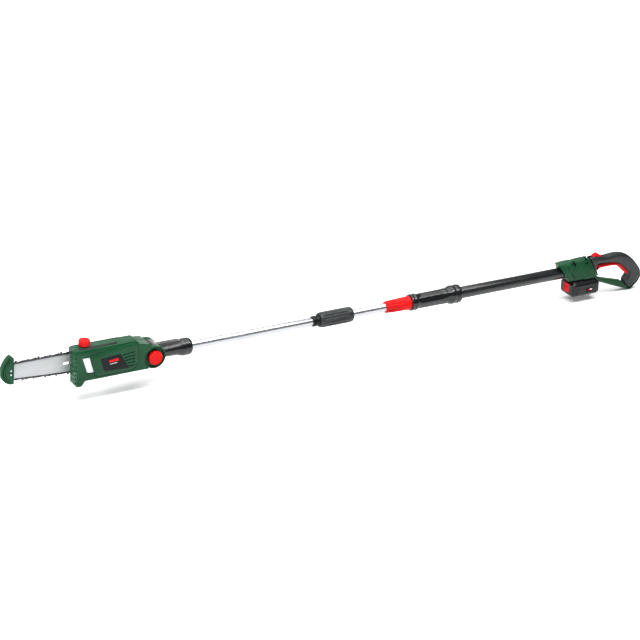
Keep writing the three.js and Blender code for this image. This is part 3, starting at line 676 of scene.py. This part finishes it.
def oil_window_and_seam():
    pane = [(-881.8, 49.2), (-864.6, -2.6), (-843, -4.4), (-858, 47.6)]
    glass = tiered(pane, [(0.8, -42.6), (0.4, -43), (0.4, -44.9), (1.2, -45.5), (2.6, -45.7)], 5, 5)
    piece(shade(glass), "oil_level_window", "head", CLEAR, "clear_plastic", "oil_window")
    seam = prism([(-38.3, 76), (-38.3, 75.9), (-32.3, 75.9), (-32.3, 79.1), (-33.2, 79.1)],
                 -891.7, -760.3, "X", 0.3, 2)
    piece(shade(seam), "top_seam_insert", "head", BLACK, "black_plastic")


def vent_slots():
    """Five leaning slots behind the label, shorter towards the bottom."""
    slots = []
    for i in range(5):
        x, z = -746.5 + 4.9 * i, 39.5 - 10.4 * i
        reach = 43 - 4.6 * i
        slots.append([(x, z), (x + reach, z + 4.4 - i), (x + reach, z + 1.6 - i), (x + 1, z - 2.8)])
    return slots


def oil_cap():
    centre = (-863, -15, 0)

    def knurl(angle, station, radius):
        if radius < 17.2 or not 83.5 < station < 97:
            return 0.0
        return -0.75 * wave(angle, 26, 3)

    profile = [(68, 0), (68, 8.6), (69, 9.6), (80.8, 9.7), (80.9, 17.6), (81.6, 18.3), (83.5, 18.5)]
    profile += [(84.2 + 1.3 * i, 18.6) for i in range(9)]
    profile += [(96.6, 18.5), (98.2, 17.6), (98.9, 16.2), (99, 14.6), (97.9, 13.9), (97.6, 13.2),
                (97.7, 6.5), (98.3, 5.6), (98.4, 0)]
    cap = shade(turned(profile, "Z", centre, 156, knurl), 60)
    rib = block((-875.5, -850.5), (-17, -13), (97.4, 98.9), 0.7, 3)
    piece(joined("cap", [cap, rib]), "filler_cap", "oil_cap", RED, "red_plastic", "oil_cap")


def sprocket_cover():
    cover = copy_of("sprocket_cover")
    cutters = [block((-830 + 11 * i, -825 + 11 * i), (34.4, 38), (-12, 44)) for i in range(6)]
    cover = soften(cut(cover, *cutters), 0.8, 6, 0.25)
    piece(cover, "chain_cover", "sprocket_cover", BLACK, "black_plastic", "sprocket_cover")
    at_stud = (-878, 0, 17.5)

    def lobes(angle, station, radius):
        return -1.5 * wave(angle, 8, 2) if radius > 15 else 0.0

    profile = [(36.4, 4.6), (36.4, 17.4), (37.4, 18.4), (39, 18.7), (42, 18.8), (45, 18.7), (48, 18.3),
               (49.4, 17.2), (49.9, 15.6), (49.9, 13.5), (48.6, 12.6), (48.4, 7), (48.8, 5.8),
               (48.8, 4.6), (36.4, 4.6)]
    knob = shade(turned(profile, "Y", at_stud, 128, lobes), 60)
    wing = block((-892, -864), (48.2, 49.9), (15.5, 19.5), 0.6, 3)
    hole = turned([(48, 0), (48, 4.6), (50.2, 4.6), (50.2, 0)], "Y", at_stud, 32)
    knob = joined("knob", [knob, cut(wing, hole)])
    piece(knob, "cover_knob_grip", "cover_knob", BLACK, "black_plastic", "cover_knob")


# ---- saw head: bar, chain, guard

SPINDLE = (-843.0, 16.5)
BAR_TURN = math.radians(1.75)
REACH = 248.0
NOSE_R = 24.0
TAIL_R = 18.0
CHAIN_LINKS = 66
RIVET_LINE = 3.4
BAR_Y = 8.0


def on_bar(u, v):
    """A point u along the bar from the sprocket and v above its middle, as X and Z."""
    return (SPINDLE[0] - u * math.cos(BAR_TURN) - v * math.sin(BAR_TURN),
            SPINDLE[1] + u * math.sin(BAR_TURN) + v * math.cos(BAR_TURN))


def bar_loop():
    """The rail line of the bar and sprocket, as a dense closed line of u and v points."""
    belly = [(0, TAIL_R), (26, 25.5), (48, 29), (90, 29.2), (160, 27.2), (REACH, NOSE_R)]
    upper = curve(belly, 24)
    nose = [(REACH + NOSE_R * math.sin(a), NOSE_R * math.cos(a))
            for a in (math.pi * i / 48 for i in range(1, 48))]
    lower = [(u, -v) for u, v in upper[::-1]]
    tail = [(-TAIL_R * math.sin(a), -TAIL_R * math.cos(a))
            for a in (math.pi * i / 36 for i in range(1, 36))]
    return upper + nose + lower + tail


def walk(loop, count):
    """Evenly spaced points on the closed loop."""
    ends = loop[1:] + loop[:1]
    lengths = [math.dist(a, b) for a, b in zip(loop, ends)]
    total = sum(lengths)
    places = []
    for i in range(count):
        goal = i * total / count
        for start, end, length in zip(loop, ends, lengths):
            if goal <= length:
                break
            goal -= length
        t = goal / length
        places.append((start[0] + (end[0] - start[0]) * t, start[1] + (end[1] - start[1]) * t))
    return places


def plates(shape, low, high, start, end, bm):
    """Adds a flat link to bm. Its outline's first axis runs from start to end, its second outward."""
    along = (Vector(end) - Vector(start)).normalized()
    out = Vector((-along.y, along.x))
    middle = (Vector(start) + Vector(end)) / 2
    ring = []
    for a, b in shape:
        spot = middle + along * a + out * b
        ring.append(on_bar(spot.x, spot.y))
    base = [bm.verts.new(at(x, BAR_Y + low, z)) for x, z in ring]
    top = [bm.verts.new(at(x, BAR_Y + high, z)) for x, z in ring]
    bm.faces.new(base)
    bm.faces.new(top[::-1])
    for i, vert in enumerate(base):
        j = (i + 1) % len(base)
        bm.faces.new((vert, top[i], top[j], base[j]))


def rounded_link(half, height, ends):
    """A tie strap's outline: round ends about the rivets and a waist between them."""
    points = []
    for side in (1, -1):
        for i in range(7):
            angle = math.radians(-75 + 25 * i)
            points.append((side * (half + ends * math.cos(angle)),
                           height + side * ends * math.sin(angle)))
        points.append((0, height + side * ends * 0.72))
    return points


DRIVE_LINK = [(-7.2, 0.3), (-3, 0.1), (-2.2, -4.2), (1.2, -5.0), (3.4, -1.0), (7.2, 0.3),
              (7.4, 3.0), (6.4, 6.4), (0, 5.4), (-6.4, 6.4), (-7.4, 3.0)]
HUMPED_LINK = DRIVE_LINK[:7] + [(7, 6.8), (5.2, 9.2), (2.4, 9), (-2, 6.4), (-6.4, 6.2), (-7.4, 3.0)]
CUTTER_SIDE = [(-7.8, 0.2), (7.6, 0.2), (8, 4), (7.6, 8.8), (6.4, 10.2), (3.8, 9.8), (2.6, 6.4),
               (1.0, 5.4), (-0.2, 6.2), (-0.8, 10.7), (-7.6, 10.1), (-8.2, 3.6)]
CUTTER_ROOF = [(-7.8, 9.2), (-0.6, 10), (-0.4, 10.9), (-7.8, 10.3)]


def chain_links(rivets, dark, bright):
    """Drive links in the middle, tie straps on both sides, and left and right cutters in turn."""
    strap = rounded_link(4.9, RIVET_LINE, 3.6)
    for i in range(CHAIN_LINKS):
        start, end = rivets[i], rivets[(i + 1) % CHAIN_LINKS]
        if i % 2 == 0:
            plates(HUMPED_LINK if i % 4 == 2 else DRIVE_LINK, -0.65, 0.65, start, end, dark)
        elif i % 4 == 1:
            hand = 1 if i % 8 == 1 else -1
            plates(CUTTER_SIDE, *sorted((hand * 0.85, hand * 2.3)), start, end, bright)
            plates(CUTTER_ROOF, *sorted((hand * 2.5, hand * -0.5)), start, end, bright)
            plates(strap, *sorted((hand * -0.85, hand * -2.1)), start, end, dark)
        else:
            plates(strap, 0.85, 2.1, start, end, dark)
            plates(strap, -2.1, -0.85, start, end, dark)


def rivet_heads(rivets, pins):
    for i, rivet in enumerate(rivets):
        along = (Vector(rivets[(i + 1) % CHAIN_LINKS]) - Vector(rivets[i - 1])).normalized()
        hub = Vector(rivet) + Vector((-along.y, along.x)) * RIVET_LINE
        head = [(hub.x - rivet[0] + a, hub.y - rivet[1] + b) for a, b in circle(1.5, 10)]
        for low, high in ((-2.5, -2.0), (2.0, 2.5)):
            plates(head, low, high, rivet, (rivet[0] + 1e-4, rivet[1]), pins)


def chain():
    rivets = walk(bar_loop(), CHAIN_LINKS)
    dark, bright, pins = bmesh.new(), bmesh.new(), bmesh.new()
    chain_links(rivets, dark, bright)
    rivet_heads(rivets, pins)
    meshes = ((dark, "chain_links", CHAIN, 0.18, ["saw_chain"]),
              (bright, "chain_cutters", CUTTER, 0.16, []),
              (pins, "chain_rivets", CUTTER, 0.2, []))
    for bm, name, material, width, nodes in meshes:
        obj = from_bmesh(name, bm)
        rim = obj.modifiers.new("rim", "BEVEL")
        rim.width = width * MM
        rim.segments = 1
        rim.limit_method = "ANGLE"
        shade(settle(obj), 40)
        piece(obj, name, "head", material, "chain_steel", *nodes)


def guide_bar():
    tail = 24.0
    half = [(u, v) for u, v in bar_loop() if u > tail]
    outline = [on_bar(u, v) for u, v in half]
    core = [on_bar(u * 0.985 + 1.0, v * 0.8) for u, v in half]
    layers = [prism(outline, BAR_Y - 1.6, BAR_Y - 0.6, "Y", 0.25, 2),
              prism(outline, BAR_Y + 0.6, BAR_Y + 1.6, "Y", 0.25, 2),
              prism(core, BAR_Y - 0.7, BAR_Y + 0.7, "Y")]
    slot_line = fillet([(-924, 13.2), (-862, 13.2), (-862, 21.8), (-924, 21.8)], 4, 5, True)
    holes = [prism(slot_line, 0, 20)]
    for x, z, radius in ((-884, 3.5, 2.6), (-1102, 17, 2.2), (-1102, 31, 2.2), (-915, 34, 1.6)):
        holes.append(prism(circle(radius, 24, x, z), 0, 20))
    hole = joined("holes", holes)
    cut_layers = []
    for layer in layers:
        own = new_object("hole", hole.data.copy())
        cut_layers.append(shade(cut(layer, own), 30))
    drop(hole)
    blade = joined("blade", cut_layers)
    piece(blade, "bar_blade", "head", BAR, "bar_steel", "guide_bar")
    rivets = []
    for u, v in ((REACH - 22, 6), (REACH - 22, -6), (REACH - 30, 0), (REACH - 14, 0)):
        x, z = on_bar(u, v)
        for low, high in ((BAR_Y - 1.85, BAR_Y - 1.5), (BAR_Y + 1.5, BAR_Y + 1.85)):
            rivets.append(prism(circle(2.0, 20, x, z), low, high, "Y", 0.12, 2))
    piece(shade(joined("rivets", rivets)), "bar_nose_rivets", "head", STEEL, "steel")


GUARD_MOUTH = [(-1092, -15.6), (-1092, 72)]
GUARD_SCREW_X = -1102
GUARD_SCREW_Z = (17, 31)


def arc_inside(arc, depth):
    """The guard's curved edge moved inwards, without its two ends."""
    return inset(arc + GUARD_MOUTH, depth)[6:len(arc) - 6]


def tip_guard():
    arc = curve([(-1103, 82), (-1111, 77), (-1121, 66), (-1130, 50), (-1135.4, 34), (-1135.8, 18),
                 (-1130.5, 4), (-1121, -7), (-1109, -14), (-1100, -16)], 6)
    body = tiered(arc + GUARD_MOUTH, [(1.6, 17), (0.5, 16.4), (0, 15.4), (0, 0.6), (0.5, -0.4), (1.6, -1)])
    groove = strip(arc_inside(arc, 7.2), 3.4)
    body = cut(body, prism(groove, -3, 2.6), prism(strip(arc_inside(arc, 14), 2.2), -3, 1.0))
    x, z = on_bar(REACH, 0)
    pocket = [turned([(4.6, 0), (4.6, 35), (11.4, 35), (11.4, 0)], "Y", (x, 0, z)),
              block((-1093, -1080), (4.6, 11.4), (-11.5, 60))]
    recess = prism(fillet([(-1112, 24), (-1096, 6), (-1095, 42)], 4, 5, True), -3, 1.7)
    far_recess = prism(strip(arc_inside(arc, 8), 4), 15, 18)
    holes = [turned([(-4, 0), (-4, 2.1), (20, 2.1), (20, 0)], "Y", (GUARD_SCREW_X, 0, z), 32)
             for z in GUARD_SCREW_Z]
    body = soften(cut(body, *pocket, recess, far_recess, *holes), 0.45, 4, 0.25)
    piece(body, "tip_guard", "head", GREEN, "green_plastic", "bar_tip_guard")


def guard_screws():
    profile = fillet([(-1.4, 0), (-1.4, 2.7), (-0.6, 3.4), (1.9, 3.4), (1.9, 1.8), (14.8, 1.8),
                      (14.8, 0)], 0.3, 2)
    for number, z in enumerate(GUARD_SCREW_Z, 1):
        screw = turned(profile, "Y", (GUARD_SCREW_X, 0, z), 40)
        socket = six_lobes(GUARD_SCREW_X, z, 1.75, 0.3)
        screw = shade(cut(screw, prism(socket, -3, -0.3)))
        piece(screw, f"tip_screw_{number}", "head", STEEL, "steel", f"guard_screw_{number}")


# ---- tilt joint and adapter

def tilt_joint():
    def knurl(angle, station, radius):
        return -0.3 * wave(angle, 36) if radius > 22 and station < -40 else 0.0

    profile = [(-32, 0), (-32, 21), (-33, 21.3), (-37.6, 21.3), (-38.6, 21.9), (-39.4, 23),
               (-42, 23.2), (-45, 23.1), (-47.4, 22.7), (-49, 21.6), (-49.8, 20), (-49.9, 18.8),
               (-49.1, 18.2), (-48.9, 17), (-49.1, 8), (-49.3, 3), (-49.3, 0)]
    button = shade(turned(profile, "Y", PIVOT, 144, knurl), 60)
    piece(button, "tilt_button", "tilt_button", RED, "red_plastic", "tilt_lock_button")
    profile = fillet([(31.6, 0), (31.6, 20.4), (42, 20.4), (43.9, 18.6), (43.9, 14), (42.4, 13.4),
                      (42.4, 0)], 0.8, 3)
    cap = shade(turned(profile, "Y", PIVOT, 96), 60)
    piece(cap, "pivot_cover", "head", BLACK, "black_plastic", "pivot_cap")


def adapter():
    knuckle = fillet([(-21.3, 5.2), (-21.3, 37.5), (21.3, 37.5), (21.3, 5.2)], 1.6, 4, True)
    fine_knuckle = turned(knuckle + knuckle[:1], "Y", PIVOT, 96)
    collar = [(-540, 14.6), (-540, 21), (-531, 23.2), (-525, 25.4), (-515, 28.3), (-512, 28.6),
              (-493, 28.6), (-488, 27.6), (-484.2, 25.4), (-484.2, 14.6), (-540, 14.6)]
    fine_collar = turned(collar, "X", (0, 0, 0), 96)
    ledge = prism([(-588, 10.5), (-529, 13.5), (-529, 15.5), (-588, 12)], -20.2, 20.2, "Y", 0.5, 2)
    body = joined("adapter", [copy_of("head_adapter"), fine_knuckle, fine_collar, ledge])
    grooves = [turned([(x, 27.8), (x, 30), (x + 1.6, 30), (x + 1.6, 27.8), (x, 27.8)])
               for x in (-507, -500)]
    bay = [block((-610, -532), sorted((side * 10.6, side * 14)), (22.4, 40), 1.2, 2)
           for side in (-1, 1)]
    body = soften(cut(body, *grooves, *bay), 0.65, 4, 0.25)
    piece(body, "adapter_body", "front_pole", GLOSS, "black_plastic", "head_adapter")


# ---- pole

TUBE_BORE, TUBE_RADIUS = 12.6, 14.0
REAR_BORE, REAR_RADIUS = 19.2, 20.5


def pole_tubes():
    front = pipe(TUBE_BORE, TUBE_RADIUS, -559, 55)
    piece(front, "front_tube_drawn", "front_pole", ALLOY, "aluminium_tube", "front_tube")
    middle = pipe(TUBE_BORE, TUBE_RADIUS, 64, 800)
    piece(middle, "mid_tube_drawn", "mid_pole", ALLOY, "aluminium_tube", "mid_tube")
    rear = pipe(REAR_BORE, REAR_RADIUS, 353, 1000, 72)
    piece(rear, "rear_tube_coated", "rear_pole", COATED, "black_plastic", "rear_tube")


def coupling():
    profile = fillet([(-32, 14.3), (-32, 17), (-30, 18), (-22, 18), (-21.4, 17.2), (-12, 17.2),
                      (-11.4, 18), (56, 18), (56, 14.3)], 0.6, 2, True)
    neck = turned(profile + profile[:1], "X", (0, 0, 0), 80)
    button_hole = turned([(-24, 0), (-24, 2.6), (-15.2, 2.6), (-15.2, 0)], "Y", (-26, 0, 0), 32)
    neck = shade(cut(neck, button_hole))
    piece(neck, "coupling_neck_part", "front_pole", BLACK, "black_plastic", "coupling_neck")

    def flutes(angle, station, radius):
        if radius < 22 or not 2 < station < 104:
            return 0.0
        fade = min(1.0, (station - 2) / 5, (104 - station) / 10)
        return -2.2 * fade * wave(angle, 14, 3)

    outer = [(-6, 20.5), (-5.6, 22.6), (-4, 24.2), (-1, 25.2), (3, 25.7), (6, 26)]
    outer += [(10 + 8 * i, 26.1) for i in range(12)]
    outer += [(103, 26.1), (108, 26), (112, 25.7), (116, 24.9), (118, 23.4), (119, 21)]
    inner = [(119, 14.8), (114, 14.6), (113, 18.6), (-6, 18.6)]
    loop = outer + inner
    sleeve = shade(turned(loop + loop[:1], "X", (0, 0, 0), 240, flutes), 60)
    piece(sleeve, "coupling_sleeve_grip", "coupling_sleeve", SOFT, "soft_grip_rubber",
          "coupling_sleeve")


def telescope_lock():
    def ribs(angle, station, radius):
        if radius < 17.4:
            return 0.0
        fade = min(1.0, max(0.0, (338 - station) / 60))
        return 2.4 * fade * wave(angle, 14, 2)

    outer = [(250, 16.2), (250.4, 17), (251.4, 17.5), (254, 17.8)]
    outer += [(258 + 6 * i, 18.1 + 0.4 * i) for i in range(14)]
    outer += [(341, 23.6), (344, 23.9), (345.6, 23.4), (346, 22.4)]
    loop = outer + [(346, 17.2), (263, 17.2), (262, 14.6), (250, 14.6)]
    sleeve = shade(turned(loop + loop[:1], "X", (0, 0, 0), 192, ribs), 60)
    piece(sleeve, "twist_lock_sleeve", "lock_sleeve", RED, "red_plastic", "lock_sleeve")


def front_grip():
    g0, g1 = 346.5, 490.0

    def pattern(angle, station, radius):
        if radius < 26.3 or not g0 + 28 < station < g1 - 14:
            return 0.0
        fade = min(1.0, (station - g0 - 28) / 6, (g1 - 14 - station) / 6)
        return -0.9 * fade * (0.5 - 0.5 * math.cos(8 * angle))

    outer = [(g0, 25.8), (g0 + 0.6, 27.6), (g0 + 2, 28.4), (g0 + 8, 28.5), (g0 + 9.4, 27.8),
             (g0 + 10.4, 26.9), (g0 + 13, 26.9), (g0 + 14, 27.8), (g0 + 15.4, 28.5), (g0 + 21, 28.5),
             (g0 + 23, 27.8), (g0 + 25, 26.9), (g0 + 28, 26.6)]
    outer += [(g0 + 32 + 6 * i, 26.6 + 0.02 * i) for i in range(17)]
    outer += [(g1 - 9, 27.1), (g1 - 3, 27.3), (g1 - 0.8, 27.2), (g1, 26.6)]
    loop = outer + [(g1, 20.8), (g0, 20.8)]
    grip = shade(turned(loop + loop[:1], "X", (0, 0, 0), 160, pattern), 60)
    piece(grip, "front_grip_sleeve", "rear_pole", GLOSS, "black_plastic", "front_grip")


def grip_flange():
    f0, f1 = 490.3, 543.0

    def scallop(angle, station, radius):
        if radius < 26 or station > f0 + 20:
            return 0.0
        fade = math.sin(math.pi * (station - f0) / 20)
        return -1.6 * fade * wave(angle, 6, 2)

    outer = [(f0, 26.8), (f0 + 2, 27.5), (f0 + 5, 28.2), (f0 + 8, 29.2), (f0 + 11, 30.8),
             (f0 + 14, 31.9), (f0 + 17, 32.4), (f0 + 20, 32.5), (f0 + 26, 32.5), (f0 + 28, 31.9),
             (f0 + 29.4, 30.8), (f0 + 32, 30.6), (f0 + 34, 31.2), (f0 + 36, 32.3), (f0 + 38, 32.5),
             (f1 - 5, 32.5), (f1 - 2, 31.8), (f1 - 0.6, 30.4), (f1, 28.4)]
    loop = outer + [(f1, 20.8), (f0, 20.8)]
    flange = shade(turned(loop + loop[:1], "X", (0, 0, 0), 144, scallop), 60)
    piece(flange, "grip_flange_ring", "rear_pole", GLOSS, "black_plastic", "grip_flange")


# ---- handle and battery

LOOP_BAR = [
    (1106, -30), (1118.5, -31), (1118.5, -41), (1133, -57), (1241, -99), (1276, -110), (1306, -87),
    (1323, -57), (1319.5, -57), (1303, -84), (1274, -105.5), (1262, -100), (1237, -72.5),
    (1143, -46), (1124, -33), (1108, -24),
]
LOOP_EDGE = LOOP_BAR + LOOP_BAR[:1]
GROOVE = [(974, 36), (984, 29), (993, 19), (999, 8), (1004, -4), (1012, -15)]
HOUSING_END, LOOP_START = 1113, 1119
TUBE_SEAT = 21.4
FRONT_SLOT = [(1002, 60), (1008.5, 60), (1020, 24.5), (1014, 23.5)]
REAR_SLOT = (1062, 1069.5)


def handle_form(x, y, z):
    """Sculpts the plain CAD housing: round shoulders, a step, a curved groove and a slim collar."""
    radius = math.hypot(y, z)
    if x > LOOP_START:
        depth = min(1.0, gap_to((x, z), LOOP_EDGE) / 5.0)
        return x, y * (0.7 + 0.3 * math.sqrt(1 - (1 - depth) ** 2)), z
    if x > HOUSING_END or radius < TUBE_SEAT:
        return x, y, z
    body = math.sqrt(max(0.05, 1 - ((z + 28) / 80) ** 2)) if z > -28 else 1.0
    collar = math.sqrt(max(0.2, 1 - (z / 47) ** 2))
    step = 1043 - 0.33 * z
    body *= 0.87 + 0.13 * ease_in(x, step - 3, step + 3)
    share = ease_in(x, 990, 1003)
    scale = collar * (1 - share) + body * share
    groove = 1 - ease_in(gap_to((x, z), GROOVE), 0.7, 1.9)
    scale -= 0.085 * groove * ease_in(abs(y), 12, 18)
    weight = ease_in(radius, TUBE_SEAT, 25)
    return x, y * (1 + (scale - 1) * weight), z


def handle_shells():
    for node in ("handle_shell_left", "handle_shell_right"):
        slot = fillet(FRONT_SLOT, 1, 2, True)
        cutters = [prism(slot, -40, -13), prism(slot, 13, 40),
                   block(REAR_SLOT, (-40, -9), (27, 60)), block(REAR_SLOT, (9, 40), (27, 60))]
        shell = soften(cut(copy_of(node), *cutters), 0.8, 6, 0.3, handle_form)
        piece(shell, node + "_moulding", "rear_pole", GREEN, "green_plastic", node)
    inserts = []
    for side in (-1, 1):
        inserts.append(prism([(1003, 38), (1009, 38), (1018.5, 22), (1015, 22)],
                             *sorted((side * 12, side * 20)), "Y", 0.5, 2))
        inserts.append(block((1062.4, 1069), sorted((side * 8, side * 17.5)), (24, 38), 0.8, 2))
    piece(joined("inserts", inserts), "housing_slot_inserts", "rear_pole", BLACK, "black_plastic")


GRIP_SIDE = [
    (1089, 23.5), (1110, -21.5), (1124, -32), (1132, -35), (1120, -9), (1118, 12), (1192, 7),
    (1221, -4), (1265, -45), (1239.5, -71.5), (1263, -98.5), (1274.5, -104), (1301.5, -83),
    (1318.5, -56.5), (1313, -36), (1282, 1), (1251, 27), (1217, 39), (1182, 40), (1150, 36),
    (1110, 43), (1081.5, 42),
]
GRIP_EDGE = fillet(GRIP_SIDE + GRIP_SIDE[:1], 16, 3)
SEAMS = [[(1136, 16), (1134, 44)], [(1196, 6), (1203, 44)]]


def grip_form(x, y, z):
    """Rounds the flat grip into a tube: its width falls away towards the outline."""
    depth = min(1.0, gap_to((x, z), GRIP_EDGE) / 15.0)
    scale = 0.36 + 0.64 * math.sqrt(1 - (1 - depth) ** 2)
    for seam in SEAMS:
        scale -= 0.045 * (1 - ease_in(gap_to((x, z), seam), 0.3, 1.3))
    return x, y * (1 + (scale - 1) * ease_in(abs(y), 5, 10)), z


def trigger_blade():
    """The finger side of the trigger: a wide lip that follows the loop's inner edge."""
    upper = curve([(1127, 4.5), (1150, 3.6), (1192, 2.2), (1221, -5), (1247.5, -28), (1271, -50)], 5)
    lower = curve([(1124.5, -9), (1140, -4.6), (1192, -5.2), (1216, -13.6), (1241, -36),
                   (1265.5, -55)], 5)
    return prism(upper + lower[::-1], -9.5, 9.5, "Y", 1.6, 3)


def loop_grip():
    grip = prism(fillet(GRIP_SIDE, 16, 5, True), -17, 17)
    channel = [(1120, -18), (1203, -10), (1228, -16), (1281, -60), (1291, -50), (1236, 9),
               (1206, 15), (1118, 15.5)]
    grip = cut(grip, prism(channel, -6.8, 6.8), block((1080, 1147), (-9, 9), (33.2, 60)),
               block((1070, 1118), (-7, 7), (-6, 15)))
    grip = soften(grip, 0.9, 10, 0.3, grip_form)
    piece(grip, "loop_grip_overmould", "rear_pole", SOFT, "soft_grip_rubber", "soft_grip")


def trigger_lever():
    trigger = joined("trigger", [copy_of("trigger"), trigger_blade()])
    piece(soften(trigger, 0.5, 5, 0.3), "trigger_lever", "trigger", RED, "red_plastic", "trigger")


def lock_off_button():
    slider = copy_of("lock_off_slider")
    ridges = [block((1103.5 + 3 * i, 1105 + 3 * i), (-9, 9), (50.2 - 3 * i, 54)) for i in range(2)]
    ridges += [prism(strip([(1122 + 5 * i, 52 - 4.4 * i), (1123.4 + 5 * i, 46 - 4 * i)], 1.2), -9, 9)
               for i in range(3)]
    slider = soften(cut(slider, *ridges), 0.4, 4, 0.35)
    piece(slider, "lock_off_button", "lock_off", RED, "red_plastic", "lock_off_slider")


def battery_form(x, y, z):
    """Sculpts the battery: a round shoulder above and a slimmer foot below."""
    shoulder = ease_in(z, -50, -33)
    foot = ease_in(-z, 76, 87)
    scale = 1 - 0.2 * shoulder ** 1.5 - 0.09 * foot
    return x, y * (1 + (scale - 1) * ease_in(abs(y), 24, 30)), z


BATTERY_X = 1001.0
BATTERY_HALF = 38.0


def battery_case():
    x0, half = BATTERY_X, BATTERY_HALF
    lower = copy_of("battery_lower_shell")
    cutters = [prism(fillet([(x0 + 57, -72.5), (x0 + 92, -72.5), (x0 + 92, -59.4), (x0 + 57, -59.4)],
                            5, 5, True), -40, -half + 1.3)]
    cutters += [prism(strip([(x0 + 12, -75 + 4.5 * i), (x0 + 24, -75 + 4.5 * i)], 1.6), -40,
                      -half + 1.1) for i in range(3)]
    lower = soften(cut(lower, *cutters), 0.6, 5, 0.3, battery_form)
    piece(lower, "battery_case_lower", "battery", BATTERY_BLACK, "black_plastic",
          "battery_lower_shell")
    upper = copy_of("battery_upper_shell")
    upper = soften(upper, 0.6, 5, 0.3, battery_form)
    piece(upper, "battery_case_upper", "battery", BATTERY_BLACK, "black_plastic",
          "battery_upper_shell")


def battery_release_key():
    x0 = BATTERY_X
    button = copy_of("battery_release_button")
    ridges = [block((x0 - 2, x0 + 0.9), (-12, 12), (-68 + 5 * i, -66.4 + 5 * i)) for i in range(4)]
    button = soften(cut(button, *ridges), 0.4, 4, 0.4)
    piece(button, "battery_release_key", "battery_release", RED, "red_plastic",
          "battery_release_button")


def battery_gauge():
    """The gauge's key and lens, and the plate that closes the shell behind them."""
    x0, half = BATTERY_X, BATTERY_HALF
    oval = fillet([(x0 + 66.4, -68), (x0 + 74, -68), (x0 + 74, -62), (x0 + 66.4, -62)], 2.8, 5, True)
    key = shade(prism(oval, -half - 0.8, -half + 2, "Y", 0.5, 3))
    piece(key, "battery_gauge_key", "gauge_button", RED, "red_plastic", "battery_gauge_button")
    lens = fillet([(x0 + 75, -67.6), (x0 + 85.6, -67.6), (x0 + 85.6, -62.4), (x0 + 75, -62.4)],
                  1.6, 4, True)
    lens = shade(prism(lens, -half + 0.4, -half + 3, "Y", 0.4, 3))
    piece(lens, "battery_gauge_lens", "battery", CLEAR, "clear_plastic", "battery_gauge_window")
    backing = block((x0 + 60.5, x0 + 89.5), (-half + 3.5, -half + 4.5), (-71, -59), 0.4, 2)
    piece(backing, "battery_gauge_bezel", "battery", BLACK, "black_plastic")


# ---- inner CAD parts keep their shape

INNER = {
    "oil_tank": NYLON, "oil_pump": BLACK, "oil_tube": NYLON, "oil_cap_seal": SOFT, "bar_stud": STEEL,
    "chain_tensioner": STEEL, "drive_sprocket": STEEL, "sprocket_spindle": STEEL,
    "spindle_bearing": STEEL, "driven_gear": STEEL, "motor_can": CAN, "motor_rotor": STEEL,
    "motor_pinion": BRASS, "gearbox_plate": ALLOY, "pivot_bolt": STEEL, "tilt_lock_ring": STEEL,
    "connector_plug": BLACK, "coupling_socket": BLACK, "connector_socket": BLACK,
    "slide_bush": NYLON, "lock_collet": NYLON, "switch_module": BLACK, "control_board": BOARD,
    "battery_terminals": BLACK, "battery_cell_pack": CELL,
}


def inner_parts():
    for node, material in INNER.items():
        obj = frame["nodes"][node]
        obj.data.materials.clear()
        obj.data.materials.append(material)


# ---- assembly

camera()
studio()
head_shells()
motor_panel()
label()
oil_window_and_seam()
oil_cap()
sprocket_cover()
chain()
guide_bar()
tip_guard()
guard_screws()
tilt_joint()
adapter()
pole_tubes()
coupling()
telescope_lock()
front_grip()
grip_flange()
handle_shells()
loop_grip()
trigger_lever()
lock_off_button()
battery_case()
battery_release_key()
battery_gauge()
inner_parts()
